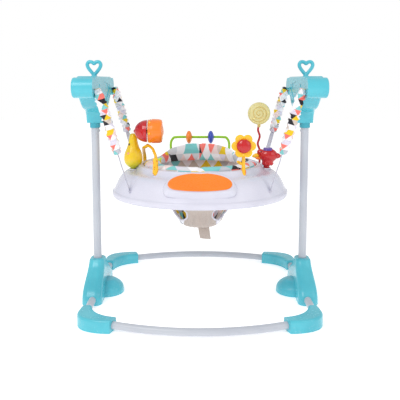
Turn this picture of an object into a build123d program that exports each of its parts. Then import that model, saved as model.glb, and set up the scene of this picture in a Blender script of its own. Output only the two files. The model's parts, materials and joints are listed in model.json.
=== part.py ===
from build123d import *
import os
from math import asin, cos, degrees, radians, sin

os.makedirs("parts", exist_ok=True)

# Activity jumper, in millimetres. Origin on the floor under the middle of the seat,
# +X to the jumper's right as seen from the front, +Y to the back, +Z up.

# Floor frame
ring_tube_radius = 12.5
ring_tube_z = 20
tube_wall = 1.5
socket_gap = 0.08
side_tube_x = 376
side_tube_half_length = 266
ring_half_depth = 390
corner_mouth_x = 273
corner_mouth_y = 340
bow_rise = ring_half_depth - corner_mouth_y
bow_radius = (corner_mouth_x**2 + bow_rise**2) / (2 * bow_rise)
bow_end_angle = degrees(asin((corner_mouth_x + 30) / bow_radius))
joint_sleeve_half_angle = 3
shoe_bottom_z = 1
shoe_height = 42
pad_radius = 12
pad_height = 3

# Uprights and heads
upright_x = 380
upright_radius = 14.5
upright_foot_z = 37
upright_top_z = 668
button_z = 603
button_radius = 4
boot_top_z = 131
outrigger_radius = 65
outrigger_height = 51
collar_radius = 17.6
collar_bottom_z = 614
head_bottom_z = 632
head_top_z = 798
head_inner_x = 345
head_outer_x = 408
head_parting_x = 376.5
head_wall = 3.5
barrel_y = 198
barrel_z = 760
barrel_radius = 33.5
barrel_outer_x = 414
screw_y = 80
screw_z = 768
loop_depth = 12

# Straps: a line from each hanger down to its slot in the tray
hanger_x = 335
hanger_y = 190
hanger_z = 750
hanger_pin_radius = 4
anchor_x = 237
anchor_y = 165
anchor_z = 411
strap_width = 16
strap_thickness = 2
sleeve_top_z = 738
sleeve_bottom_z = {"front": 540, "rear": 582}
sleeve_radius = 17
sleeve_neck_radius = 8.6
sleeve_bore = 7.5
spring_radius = 7
spring_wire = 1.4

# Tray: half width, half depth and height of each level of its outside
tray_levels = [
    (370, 314, 277),
    (376, 319, 282),
    (389, 319, 282),
    (397, 311, 274),
    (430, 295, 262),
    (452, 277, 248),
    (462, 260, 236),
]
tray_wall = 3.5
tray_top_z = 462
tray_hole_radius = 206
pad_overhang = 4.4
panel_half_width = 103

# Seat
seat_ring_radius = 205.5
seat_ring_bore = 190
seat_flange_radius = 216
seat_top_z = 472
rim_pad_top_z = 496
skirt_z = 463.4
back_top_z = 541
back_radius = 168
pod_bottom_z = 250
tag_bottom_z = 197
tag_width = 42

# Toys
bar_half_width = 116
bar_y = 199
bar_z = 559
bar_radius = 5
bead_radius = 26
bead_length = 24
bead_x = {"orange": -44, "blue": 43}
pear_at = (-241, -18)
roller_at = (-185, -47, 605)
roller_gap = 2
flower_at = (145, -182, 568)
flower_stem_at = (146, -166)
lollipop_at = (222, 80, 660)
lollipop_foot = (226, 80)
bird_at = (243, 0)

sides = {"left": -1, "right": 1}
ends = {"front": -1, "rear": 1}


def save(piece, label):
    """Names a finished piece and writes its STEP file."""
    piece.part.label = label
    export_step(piece.part, f"parts/{label}.step")


def bowed_bar(end, start_angle, sweep_angle, outer_radius, inner_radius=0):
    """A length of the bowed floor tube, by angles from the middle towards +X."""
    centre_y = -end * (bow_radius - ring_half_depth)
    a = radians(start_angle)
    start = (bow_radius * sin(a), centre_y + end * bow_radius * cos(a), ring_tube_z)
    along = (cos(a), -end * sin(a), 0)
    with BuildPart() as bar:
        with BuildSketch(Plane(origin=start, x_dir=(0, 0, 1), z_dir=along)):
            Circle(outer_radius)
            if inner_radius:
                Circle(inner_radius, mode=Mode.SUBTRACT)
        revolve(axis=Axis((0, centre_y, 0), (0, 0, -end)), revolution_arc=sweep_angle)
    return bar.part


def facing(origin, direction):
    """A plane at origin whose normal points along direction."""
    return Plane(origin=origin, z_dir=direction)


def rod(origin, direction, radius, length, mode=Mode.ADD):
    """A cylinder that starts at origin and runs along direction."""
    with Locations(facing(origin, direction)):
        Cylinder(radius, length, align=(Align.CENTER, Align.CENTER, Align.MIN), mode=mode)


# Where the rubber pads sit under the plastic feet
pad_places = [(sx * x, sy * y) for sx in (-1, 1) for sy in (-1, 1) for x, y in ((366, 300), (upright_x, 86))]
pad_places += [(-308, 0), (308, 0)]


# --- Floor tubes ---
for side_name, side in sides.items():
    with BuildPart() as side_tube:
        with BuildSketch(Plane.XZ.offset(-side_tube_half_length)):
            with Locations((side * side_tube_x, ring_tube_z)):
                Circle(ring_tube_radius)
                Circle(ring_tube_radius - tube_wall, mode=Mode.SUBTRACT)
        extrude(amount=2 * side_tube_half_length)
    save(side_tube, f"side_tube_{side_name}")

with BuildPart() as front_tube:
    add(bowed_bar(-1, -bow_end_angle, 2 * bow_end_angle, ring_tube_radius, ring_tube_radius - tube_wall))
save(front_tube, "front_tube")

rear_button_angle = 1.0
rear_button_x = bow_radius * sin(radians(rear_button_angle))
rear_button_y = ring_half_depth - bow_radius * (1 - cos(radians(rear_button_angle)))
rear_button_at = (rear_button_x, rear_button_y, ring_tube_z)
for side_name, side in sides.items():
    with BuildPart() as rear_tube:
        start = -bow_end_angle if side < 0 else 0
        add(bowed_bar(1, start, bow_end_angle, ring_tube_radius, ring_tube_radius - tube_wall))
        if side > 0:
            rod(rear_button_at, (0, -1, 0), button_radius + socket_gap, 30, Mode.SUBTRACT)
    save(rear_tube, f"rear_tube_{side_name}")

insert_radius = ring_tube_radius - tube_wall - socket_gap
with BuildPart() as rear_tube_insert:
    insert_bore = insert_radius - tube_wall
    add(bowed_bar(1, -joint_sleeve_half_angle, 2 * joint_sleeve_half_angle, insert_radius, insert_bore))
    rod(rear_button_at, (0, -1, 0), button_radius + socket_gap, 30, Mode.SUBTRACT)
save(rear_tube_insert, "rear_tube_insert")


def snap_button(origin, direction, inner_radius, proud):
    """A round button with a flange that stops inside a tube of this inner radius."""
    flange_back = inner_radius - 4.2
    with BuildPart() as button:
        rod(Vector(*origin) + Vector(*direction) * flange_back, direction, button_radius + 1.5, 2)
        rod(Vector(*origin) + Vector(*direction) * (flange_back + 2), direction, button_radius, proud)
        fillet(button.edges().filter_by(GeomType.CIRCLE).sort_by(Axis(origin, direction))[-1], 1.2)
    return button


rear_button = snap_button(rear_button_at, (0, -1, 0), insert_radius - tube_wall, 8.7)
save(rear_button, "rear_snap_button")


# --- Corner feet: rounded elbows with a flared skirt ---
def corner_foot(side, end):
    outer = [(392, 234), (396, 264), (396, 292), (379, 328), (340, 352), (281, 361)]
    inner = [(266, 321), (300, 311), (335, 285), (350, 262), (359, 234)]
    outer = [(side * x, end * y) for x, y in outer]
    inner = [(side * x, end * y) for x, y in inner]
    with BuildPart() as foot:
        with BuildSketch(Plane.XY.offset(shoe_bottom_z)):
            with BuildLine():
                Spline(*outer)
                Line(outer[-1], inner[0])
                Spline(*inner)
                Line(inner[-1], outer[0])
            make_face()
        extrude(amount=shoe_height - shoe_bottom_z)
        fillet(foot.edges().group_by(Axis.Z)[-1].filter_by(lambda e: e.length > 60), 9)
        tube_socket = ring_tube_radius + socket_gap
        rod((side * side_tube_x, 0, ring_tube_z), (0, end, 0), tube_socket, side_tube_half_length + 1, Mode.SUBTRACT)
        start = -bow_end_angle - 0.1 if side < 0 else 0
        add(bowed_bar(end, start, bow_end_angle + 0.1, ring_tube_radius + socket_gap), mode=Mode.SUBTRACT)
        for x, y in pad_places:
            if x * side > 0 and y * end > 200:
                rod((x, y, 0), (0, 0, 1), pad_radius + socket_gap, pad_height, Mode.SUBTRACT)
    return foot


for side_name, side in sides.items():
    for end_name, end in ends.items():
        save(corner_foot(side, end), f"corner_foot_{end_name}_{side_name}")

with BuildPart() as rubber_pads:
    for x, y in pad_places:
        rod((x, y, 0), (0, 0, 1), pad_radius, pad_height)
save(rubber_pads, "rubber_pads")

# --- Boots: the mouldings that join each upright to its side tube ---
boot_sections = [(shoe_bottom_z, 70, 288, 24), (30, 69, 280, 24), (78, 63, 172, 24), (boot_top_z, 56, 64, 22)]
boot_bolt_z = 96
boot_bolt_radius = 2.5
for side_name, side in sides.items():
    centre = side * upright_x
    bolt_start = (centre - side * 40, 0, boot_bolt_z)
    with BuildPart() as boot:
        for z, width, depth, corner in boot_sections:
            with BuildSketch(Plane.XY.offset(z)):
                with Locations((centre, 0)):
                    RectangleRounded(width, depth, corner)
        loft()
        fillet(boot.edges().group_by(Axis.Z)[-1], 8)
        with BuildSketch(Plane(origin=(side * 349, 0, shoe_bottom_z), x_dir=(1, 0, 0), z_dir=(0, -1, 0))):
            with BuildLine():
                Line((0, 0), (outrigger_radius, 0))
                dome = [(outrigger_radius, 0), (60, 26), (38, 45), (0, outrigger_height)]
                Spline(*dome, tangents=((0, 1), (-1, 0)))
                Line((0, outrigger_height), (0, 0))
            make_face()
        revolve(axis=Axis((side * 349, 0, 0), (0, 0, 1)))
        tube_socket = ring_tube_radius + socket_gap
        rod((side * side_tube_x, -150, ring_tube_z), (0, 1, 0), tube_socket, 300, Mode.SUBTRACT)
        rod((centre, 0, upright_foot_z - 1), (0, 0, 1), upright_radius + socket_gap, 120, Mode.SUBTRACT)
        rod(bolt_start, (side, 0, 0), boot_bolt_radius + socket_gap, 80, Mode.SUBTRACT)
        rod((centre + side * 23, 0, boot_bolt_z), (side, 0, 0), 5.3, 20, Mode.SUBTRACT)
        for x, y in pad_places:
            if x * side > 0 and abs(y) < 200:
                rod((x, y, 0), (0, 0, 1), pad_radius + socket_gap, pad_height, Mode.SUBTRACT)
    save(boot, f"boot_{side_name}")

    with BuildPart() as upright:
        with BuildSketch(Plane.XY.offset(upright_foot_z)):
            with Locations((centre, 0)):
                Circle(upright_radius)
                Circle(upright_radius - tube_wall, mode=Mode.SUBTRACT)
        extrude(amount=upright_top_z - upright_foot_z)
        rod((centre, 0, button_z), (-side, 0, 0), button_radius + socket_gap, 30, Mode.SUBTRACT)
        rod(bolt_start, (side, 0, 0), boot_bolt_radius + socket_gap, 80, Mode.SUBTRACT)
    save(upright, f"upright_{side_name}")

    button = snap_button((centre, 0, button_z), (-side, 0, 0), upright_radius - tube_wall, 7.2)
    save(button, f"snap_button_{side_name}")

with BuildPart() as head_collars:
    with BuildSketch(Plane.XY.offset(collar_bottom_z)):
        with Locations((-upright_x, 0), (upright_x, 0)):
            Circle(collar_radius + 1.4)
            Circle(upright_radius + socket_gap, mode=Mode.SUBTRACT)
    extrude(amount=head_bottom_z - collar_bottom_z)
save(head_collars, "head_collars")


# --- Heads: two half shells each, with a spring barrel at the front and the back ---
def head_body(side):
    """The whole head before it is parted into its inner and outer shells."""
    lower = [(18, head_bottom_z), (21, 650), (36, 671), (84, 686), (134, 716), (172, 740)]
    cavity = [(50, 692), (80, 696), (135, 729), (135, 786)]
    barrel_length = barrel_outer_x - head_inner_x
    with BuildPart() as head:
        with BuildSketch(Plane.YZ.offset(side * head_inner_x)):
            with BuildLine():
                Spline(*lower)
                top = [(182, 778), (176, head_top_z), (-176, head_top_z), (-182, 778), (-172, 740)]
                Polyline(lower[-1], *top)
                Spline(*[(-y, z) for y, z in reversed(lower)])
                Line((-18, head_bottom_z), lower[0])
            make_face()
            fillet(vertices().group_by(Axis.Y)[-1], 14)
        extrude(amount=side * (head_outer_x - head_inner_x))
        face_edges = head.faces().filter_by(Axis.X).edges()
        fillet(face_edges.filter_by(lambda e: e.center().Z > head_bottom_z + 1), 8)
        for y in (-barrel_y, barrel_y):
            rod((side * head_inner_x, y, barrel_z), (side, 0, 0), barrel_radius, barrel_length)
        fillet(
            head.edges().filter_by(GeomType.CIRCLE).filter_by(lambda e: abs(e.radius - barrel_radius) < 0.1)
            .group_by(Axis.X)[-1 if side > 0 else 0], 5)
        with BuildSketch(Plane.YZ.offset(side * (head_inner_x + head_wall))):
            with BuildLine():
                Polyline(*cavity, *[(-y, z) for y, z in reversed(cavity)], close=True)
            make_face()
            fillet(vertices(), 6)
        extrude(amount=side * (head_outer_x - head_inner_x - 2 * head_wall), mode=Mode.SUBTRACT)
        for y in (-barrel_y, barrel_y):
            rod((side * (head_inner_x + head_wall), y, barrel_z), (side, 0, 0), barrel_radius - head_wall,
                barrel_length - 2 * head_wall, Mode.SUBTRACT)
            rod((side * (head_inner_x - 5), hanger_y * y / barrel_y, hanger_z + 2), (side, 0, 0),
                hanger_pin_radius + socket_gap, 20, Mode.SUBTRACT)
            rod((side * (barrel_outer_x - 14), hanger_y * y / barrel_y, hanger_z + 2), (side, 0, 0),
                9, 11)
            rod((side * (barrel_outer_x - 14), hanger_y * y / barrel_y, hanger_z + 2), (side, 0, 0),
                hanger_pin_radius + socket_gap, 8, Mode.SUBTRACT)
        for y in (-screw_y, screw_y):
            rod((side * (head_inner_x + 1), y, screw_z), (side, 0, 0), 6, head_outer_x - head_inner_x - 2)
            rod((side * head_inner_x, y, screw_z), (side, 0, 0), 1.7, 52, Mode.SUBTRACT)
            rod((side * head_inner_x, y, screw_z), (side, 0, 0), 4.1, 3, Mode.SUBTRACT)
        with BuildSketch(Plane.YZ.offset(side * head_inner_x)):
            with BuildLine():
                Spline((0, 690), (62, 722), (122, 768), tangents=((1, 0.25), (0.6, 1)))
                Line((122, 768), (0, 780))
                Line((0, 780), (0, 690))
            make_face()
            mirror(about=Plane.YZ)
            with Locations((-screw_y, screw_z), (screw_y, screw_z)):
                Circle(7, mode=Mode.SUBTRACT)
        extrude(amount=side * 1.5, mode=Mode.SUBTRACT)
        socket_depth = upright_top_z - head_bottom_z + 1.5
        rod((side * upright_x, 0, head_bottom_z - 1), (0, 0, 1), upright_radius + socket_gap, socket_depth, Mode.SUBTRACT)
    return head.part


for side_name, side in sides.items():
    whole_head = head_body(side)
    inner_keep = Keep.BOTTOM if side > 0 else Keep.TOP
    outer_keep = Keep.TOP if side > 0 else Keep.BOTTOM
    for shell_name, keep in (("inner", inner_keep), ("outer", outer_keep)):
        with BuildPart() as shell:
            add(whole_head)
            split(bisect_by=Plane.YZ.offset(side * head_parting_x), keep=keep)
        save(shell, f"head_{side_name}_{shell_name}_shell")

    # Heart-shaped loop on top of the head
    lobe = [(13, 811), (26, 826), (31, 841), (25, 853), (13, 856.5)]
    hole = [(10, 824), (16, 836), (13, 844), (6, 846)]
    centre = side * upright_x
    with BuildPart() as heart:
        with BuildSketch(Plane.XZ.offset(-loop_depth / 2)):
            with BuildLine():
                right = [(centre + x, z) for x, z in lobe]
                left = [(centre - x, z) for x, z in reversed(lobe)]
                Spline((centre + 11, head_top_z), *right, (centre, 852), *left, (centre - 11, head_top_z))
                Line((centre - 11, head_top_z), (centre + 11, head_top_z))
            make_face()
            with BuildLine():
                right = [(centre + x, z) for x, z in hole]
                left = [(centre - x, z) for x, z in reversed(hole)]
                Spline((centre, 813), *right, (centre, 843.5), *left, periodic=True)
            make_face(mode=Mode.SUBTRACT)
        extrude(amount=loop_depth)
    save(heart, f"heart_loop_{side_name}")

with BuildPart() as frame_screws:
    for side in sides.values():
        for y in (-screw_y, screw_y):
            rod((side * (head_inner_x + 0.4), y, screw_z), (side, 0, 0), 4, 2.6)
            rod((side * (head_inner_x + 3), y, screw_z), (side, 0, 0), 1.6, 46)
        rod((side * (upright_x - 26), 0, boot_bolt_z), (side, 0, 0), boot_bolt_radius, 49)
        rod((side * (upright_x + 23), 0, boot_bolt_z), (side, 0, 0), 5, 3.5)
save(frame_screws, "frame_screws")

with BuildPart() as hanger_pins:
    for side in sides.values():
        for end in ends.values():
            pin_start = (side * (hanger_x - 9), end * hanger_y, hanger_z + 2)
            rod(pin_start, (side, 0, 0), hanger_pin_radius, barrel_outer_x + 2 - hanger_x)
            rod((side * (hanger_x - 11), end * hanger_y, hanger_z + 2), (side, 0, 0), 7, 2)
save(hanger_pins, "hanger_pins")


# --- Bounce straps: a spring in a gathered fabric sleeve over a flat webbing ---
def strap_point(side, end, z):
    """The point of a strap's centre line at this height."""
    t = (z - anchor_z) / (hanger_z - anchor_z)
    x = anchor_x + t * (hanger_x - anchor_x)
    y = anchor_y + t * (hanger_y - anchor_y)
    return Vector(side * x, end * y, z)


def strap_plane(side, end, z):
    """A plane across the strap; its x direction is the webbing's wide direction."""
    along = (strap_point(side, end, hanger_z) - strap_point(side, end, anchor_z)).normalized()
    wide = Vector(0, 1, 0) if end < 0 else Vector(1, 0, 0)
    wide = (wide - along * wide.dot(along)).normalized()
    return Plane(origin=strap_point(side, end, z), x_dir=wide, z_dir=along)


def strap_run(side, end, low, high):
    return (strap_point(side, end, high) - strap_point(side, end, low)).length


with BuildPart() as bounce_springs:
    for side in sides.values():
        for end_name, end in ends.items():
            low = sleeve_bottom_z[end_name] + 6
            with BuildSketch(strap_plane(side, end, low)):
                Circle(spring_radius)
                Circle(spring_radius - spring_wire, mode=Mode.SUBTRACT)
            extrude(amount=strap_run(side, end, low, sleeve_top_z - 3))
save(bounce_springs, "bounce_springs")

for side_name, side in sides.items():
    for end_name, end in ends.items():
        low = sleeve_bottom_z[end_name]
        section = strap_plane(side, end, low)
        length = strap_run(side, end, low, sleeve_top_z)
        with BuildPart() as sleeve:
            with BuildSketch(section):
                Circle(11)
            with BuildSketch(section.offset(14)):
                Circle(sleeve_radius)
            with BuildSketch(section.offset(length - 26)):
                Circle(sleeve_radius - 2)
            with BuildSketch(section.offset(length)):
                Circle(sleeve_neck_radius)
            loft(ruled=True)
            with BuildSketch(section.offset(-1)):
                Circle(sleeve_bore)
            extrude(amount=length + 2, mode=Mode.SUBTRACT)
        save(sleeve, f"spring_sleeve_{end_name}_{side_name}")

        with BuildPart() as strap:
            with BuildSketch(strap_plane(side, end, anchor_z - 18)):
                Rectangle(strap_width - 4, strap_thickness)
            extrude(amount=strap_run(side, end, anchor_z - 18, low + 5))
            with BuildSketch(strap_plane(side, end, anchor_z - 18)):
                Rectangle(strap_width, strap_thickness)
            extrude(amount=strap_run(side, end, anchor_z - 18, low - 2))
        save(strap, f"tray_strap_{end_name}_{side_name}")

with BuildPart() as strap_anchors:
    for side in sides.values():
        for end in ends.values():
            with BuildSketch(strap_plane(side, end, anchor_z - 24)):
                RectangleRounded(26, 12, 4)
            extrude(amount=strap_run(side, end, anchor_z - 24, anchor_z - 18))
save(strap_anchors, "strap_anchors")


# --- Tray ---
def tray_form(levels):
    """A closed form through oval levels, each given as height, half width and half depth."""
    with BuildPart() as form:
        for z, half_width, half_depth in levels:
            with BuildSketch(Plane.XY.offset(z)):
                Ellipse(half_width, half_depth)
        loft(ruled=True)
    return form.part


hollow_levels = [(tray_levels[0][0] - 1, tray_levels[0][1] - tray_wall, tray_levels[0][2] - tray_wall)]
for z, a, b in tray_levels[1:]:
    roof = tray_wall if z > 400 else 0
    hollow_levels.append((z - roof, a - tray_wall, b - tray_wall))

panel_plane = Plane(origin=(0, -243.2, 457.2), x_dir=(1, 0, 0), z_dir=(0, -48, 53))


def panel_outline(margin):
    """The front panel's outline: an arched top edge, a flatter lower edge and round ends."""
    half = panel_half_width + margin
    with BuildSketch() as outline:
        with BuildLine():
            ThreePointArc((-half, -10), (0, 34 + margin), (half, -10))
            Line((half, -10), (half - 13, -31 - margin))
            ThreePointArc((half - 13, -31 - margin), (0, -35 - margin), (13 - half, -31 - margin))
            Line((13 - half, -31 - margin), (-half, -10))
        make_face()
        fillet(outline.vertices(), 11)
    return outline.sketch


bar_feet = [(-bar_half_width, bar_y), (bar_half_width, bar_y)]
roller_feet = [(-149, -168), (-208, 68)]

with BuildPart() as tray_shell:
    add(tray_form(tray_levels))
    with BuildSketch(panel_plane):
        add(panel_outline(7))
    extrude(amount=-34, taper=-12)
    add(tray_form(hollow_levels), mode=Mode.SUBTRACT)
    with BuildSketch(Plane.XY.offset(360)):
        Circle(tray_hole_radius)
    extrude(amount=130, mode=Mode.SUBTRACT)
    with BuildSketch(Plane.XY.offset(tray_top_z + 1)):
        Circle(tray_hole_radius + pad_overhang)
    extrude(amount=40, mode=Mode.SUBTRACT)
    for side in sides.values():
        for end in ends.values():
            with BuildSketch(strap_plane(side, end, anchor_z - 12)):
                Rectangle(strap_width + 3, strap_thickness + 4)
            extrude(amount=40, mode=Mode.SUBTRACT)
save(tray_shell, "tray_shell")

with BuildPart() as console_panel:
    with BuildSketch(panel_plane):
        add(panel_outline(0))
    extrude(amount=3)
    fillet(console_panel.edges().filter_by(lambda e: panel_plane.to_local_coords(e.center()).Z > 2.9), 1.5)
save(console_panel, "console_panel")

with BuildPart() as tray_under_ring:
    with BuildSketch(Plane.XY.offset(441)):
        Circle(229)
        Circle(208, mode=Mode.SUBTRACT)
    extrude(amount=10.6)
    with BuildSketch(Plane.XY.offset(451.6)):
        Circle(229)
        Circle(seat_flange_radius + 1, mode=Mode.SUBTRACT)
    extrude(amount=tray_top_z - tray_wall - 451.6)
save(tray_under_ring, "tray_under_ring")

# --- Seat: hangs in the tray's hole by its flange and turns there ---
with BuildPart() as seat_ring:
    with BuildSketch(Plane.XY.offset(446)):
        Circle(seat_ring_radius)
        Circle(seat_ring_bore, mode=Mode.SUBTRACT)
    extrude(amount=seat_top_z - 446)
    with BuildSketch(Plane.XY.offset(452)):
        Circle(seat_flange_radius)
        Circle(seat_ring_bore, mode=Mode.SUBTRACT)
    extrude(amount=5.8)
save(seat_ring, "seat_ring")

with BuildPart() as seat_rim_pad:
    with BuildSketch(Plane.XZ):
        with BuildLine():
            Polyline((152, seat_top_z), (206.4, seat_top_z), (206.4, skirt_z), (208.6, skirt_z), (208.6, 469))
            Spline((208.6, 469), (209, 480), (198, 491), (180, rim_pad_top_z), (158, 489), (152, seat_top_z))
        make_face()
    revolve(axis=Axis.Z)
save(seat_rim_pad, "seat_rim_pad")

with BuildPart() as seat_back_pad:
    with BuildSketch(Plane.XZ.offset(-30)):
        with BuildLine():
            Line((-150, rim_pad_top_z), (150, rim_pad_top_z))
            rise = [(150, rim_pad_top_z), (120, 520), (60, 538)]
            Spline(*rise, (0, back_top_z), *[(-x, z) for x, z in reversed(rise)])
        make_face()
    extrude(amount=-140)
    with BuildSketch(Plane.XY.offset(rim_pad_top_z)):
        Circle(back_radius)
        Circle(back_radius - 24, mode=Mode.SUBTRACT)
    extrude(amount=60, mode=Mode.INTERSECT)
save(seat_back_pad, "seat_back_pad")

pod_outer = [(189.5, seat_top_z), (184, 440), (158, 380), (104, 318), (78, 268), (60, pod_bottom_z)]
with BuildPart() as seat_pod:
    with BuildSketch(Plane.XZ):
        with BuildLine():
            Spline(*pod_outer)
            Line((60, pod_bottom_z), (0, pod_bottom_z))
            Line((0, pod_bottom_z), (0, pod_bottom_z + 6))
            Line((0, pod_bottom_z + 6), (56, pod_bottom_z + 6))
            Spline((56, pod_bottom_z + 6), (72, 270), (98, 320), (152, 382), (178, 440), (183.5, seat_top_z))
            Line((183.5, seat_top_z), (189.5, seat_top_z))
        make_face()
    revolve(axis=Axis.Z)
    for side in sides.values():
        rod((side * 40, -20, 338), (side * 0.5, -1, -0.3), 46, 200, Mode.SUBTRACT)
save(seat_pod, "seat_pod")

with BuildPart() as crotch_strap:
    with BuildSketch(Plane.XZ.offset(-1.5)):
        with BuildLine():
            tag_top = [(-9, pod_bottom_z), (-9 + tag_width, pod_bottom_z)]
            Polyline(*tag_top, (-1 + tag_width, tag_bottom_z), (-1, tag_bottom_z + 4), (-9, pod_bottom_z))
        make_face()
    extrude(amount=3)
save(crotch_strap, "crotch_strap")

# --- Toys ---
with BuildPart() as bead_bar:
    with BuildLine() as bar_line:
        FilletPolyline(
            (-bar_half_width, bar_y, tray_top_z), (-bar_half_width, bar_y, bar_z),
            (bar_half_width, bar_y, bar_z), (bar_half_width, bar_y, tray_top_z), radius=24)
    with BuildSketch(Plane.XY.offset(tray_top_z)):
        with Locations((-bar_half_width, bar_y)):
            Circle(bar_radius)
    sweep(path=bar_line.line)
save(bead_bar, "bead_bar")

for colour, x in bead_x.items():
    with BuildPart() as bead:
        with BuildSketch(Plane.XY):
            with Locations((x, bar_z)):
                Ellipse(bead_length / 2, bead_radius)
            with Locations((x, bar_z - bead_radius)):
                Rectangle(bead_length + 2, 2 * bead_radius, mode=Mode.SUBTRACT)
            with Locations((x, bar_z)):
                Rectangle(bead_length + 2, 2 * (bar_radius + 0.1), mode=Mode.SUBTRACT)
        revolve(axis=Axis((0, bar_z, 0), (1, 0, 0)))
    with BuildPart() as placed_bead:
        add(bead.part.rotate(Axis.X, 90).translate((0, bar_y, 0)))
    save(placed_bead, f"bead_{colour}")

post_feet = bar_feet + roller_feet + [flower_stem_at, lollipop_foot, pear_at, bird_at]
post_radii = [bar_radius] * 2 + [7, 4.5, 7, 5.2, 11, 12]
with BuildPart() as toy_sockets:
    for (x, y), radius in zip(post_feet, post_radii):
        with BuildSketch(Plane.XY.offset(tray_top_z)):
            with Locations((x, y)):
                Circle(radius + 4.5)
                Circle(radius + 0.3, mode=Mode.SUBTRACT)
        extrude(amount=5)
save(toy_sockets, "toy_sockets")

# Pear that rocks on a short post
with BuildPart() as pear_toy:
    with BuildSketch(Plane.XZ.offset(-pear_at[1])):
        with BuildLine():
            pear_x = pear_at[0]
            foot_z = tray_top_z + 2.2
            Polyline((pear_x, 595), (pear_x, foot_z), (pear_x + 9, foot_z), (pear_x + 9, 469))
            flank = [(29, 482), (33.5, 504), (22, 542), (14, 572), (0, 595)]
            Spline((pear_x + 9, 469), *[(pear_x + r, z) for r, z in flank])
        make_face()
    revolve(axis=Axis((pear_at[0], pear_at[1], 0), (0, 0, 1)))
save(pear_toy, "pear_toy")

# Roller: a dome and a barrel that turn together on a yoke
rx, ry, rz = roller_at


def bent_rod(path, bend, radius):
    """A round rod along straight runs joined by bends."""
    with BuildPart() as piece:
        with BuildLine() as line:
            FilletPolyline(*path, radius=bend)
        with BuildSketch(facing(path[0], Vector(*path[1]) - Vector(*path[0]))):
            Circle(radius)
        sweep(path=line.line)
    return piece.part


front_leg = [(rx, ry, rz - 51), (rx + 20, -86, 547), (-149, -145, 533), (-149, -168, 512), (-149, -168, 480)]
rear_leg = [(rx, ry, rz - 51), (-203, -20, 547), (-208, 46, 512), (-208, 68, 488), (-208, 68, tray_top_z)]
with BuildPart() as roller_arch:
    rod((rx - 1, ry, rz), (1, 0, 0), 11, 2)
    with BuildSketch(Plane.YZ.offset(rx - 1)):
        with Locations((ry, rz - 25)):
            Rectangle(16, 50)
    extrude(amount=2)
    rod((rx - 30, ry, rz), (1, 0, 0), 5, 60)
    add(bent_rod(front_leg, 9, 4.5))
    add(bent_rod(rear_leg, 9, 4.5))
    rod((rx - 9, ry, rz - 51), (1, 0, 0), 4.5, 18)
    rod((*roller_feet[0], tray_top_z), (0, 0, 1), 7, 10)
    with BuildSketch(Plane.XY.offset(469)):
        with Locations(roller_feet[0]):
            Ellipse(10.5, 6.5)
    with BuildSketch(Plane.XY.offset(526)):
        with Locations(roller_feet[0]):
            Ellipse(8, 5.5)
    loft()
save(roller_arch, "roller_arch")

roller_halves = (("roller_dome", rx - roller_gap, rx - 48), ("roller_barrel", rx + roller_gap, rx + 52))
for name, inner_x, outer_x in roller_halves:
    with BuildPart() as roller_half:
        with BuildSketch(Plane.XY):
            with BuildLine():
                if name == "roller_dome":
                    Line((inner_x, 5.1), (inner_x, 39))
                    dome = [(inner_x, 39), (rx - 30, 34), (rx - 44, 20), (outer_x, 5.1)]
                    Spline(*dome, tangents=((-1, 0), (0, -1)))
                    Line((outer_x, 5.1), (inner_x, 5.1))
                else:
                    Line((inner_x, 5.1), (inner_x, 40))
                    Spline((inner_x, 40), (rx + 26, 43), (outer_x, 38))
                    Line((outer_x, 38), (outer_x, 5.1))
                    Line((outer_x, 5.1), (inner_x, 5.1))
            make_face()
        revolve(axis=Axis.X)
    with BuildPart() as placed_half:
        add(roller_half.part.translate((0, ry, rz)))
    save(placed_half, name)

# Flower that spins on its stem
fx, fy, fz = flower_at
petal_front = fy - 6
with BuildPart() as flower_stem:
    rod((*flower_stem_at, tray_top_z), (0, 0, 1), 7, fz + 7 - tray_top_z)
    rod((fx, flower_stem_at[1], fz), (0, -1, 0), 4, flower_stem_at[1] - petal_front)
    with BuildSketch(Plane.XZ.offset(-flower_stem_at[1] - 3)):
        with Locations(Location((flower_stem_at[0] - 12, 508), 35)):
            Ellipse(13, 6)
    extrude(amount=6)
save(flower_stem, "flower_stem")

with BuildPart() as flower_petals:
    with BuildSketch(Plane.XZ.offset(-petal_front)):
        with Locations((fx, fz)):
            Circle(26)
            with PolarLocations(26, 6, 30):
                Circle(15)
            Circle(4.06, mode=Mode.SUBTRACT)
    extrude(amount=-10)
save(flower_petals, "flower_petals")

with BuildPart() as flower_dome:
    rod((fx, petal_front, fz), (0, -1, 0), 23.5, 4)
    rod((fx, petal_front - 4, fz), (0, -1, 0), 23.5, 8)
    fillet(flower_dome.edges().filter_by(GeomType.CIRCLE).sort_by(Axis.Y)[0], 7.9)
save(flower_dome, "flower_dome")

# Lollipop on a wavy stalk
lx, ly, lz = lollipop_at
stalk = [(*lollipop_foot, tray_top_z + 1.2), (*lollipop_foot, 520)]
stalk += [(lx - 4, ly, 548), (lx + 4, ly, 576), (lx - 4, ly, 600), (lx, ly, 622)]
with BuildPart() as lollipop_stalk:
    with BuildLine() as stalk_line:
        FilletPolyline(*stalk, radius=14)
    with BuildSketch(Plane.XY.offset(tray_top_z + 1.2)):
        with Locations(lollipop_foot):
            Circle(4)
    sweep(path=stalk_line.line)
save(lollipop_stalk, "lollipop_stalk")

with BuildPart() as lollipop_disc:
    rod((lx, ly - 6, lz), (0, 1, 0), 42, 12)
    fillet(lollipop_disc.edges().filter_by(GeomType.CIRCLE), 5)
    rod((lx, ly, 610), (0, 0, 1), 5.4, 13.5, Mode.SUBTRACT)
save(lollipop_disc, "lollipop_disc")

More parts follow.
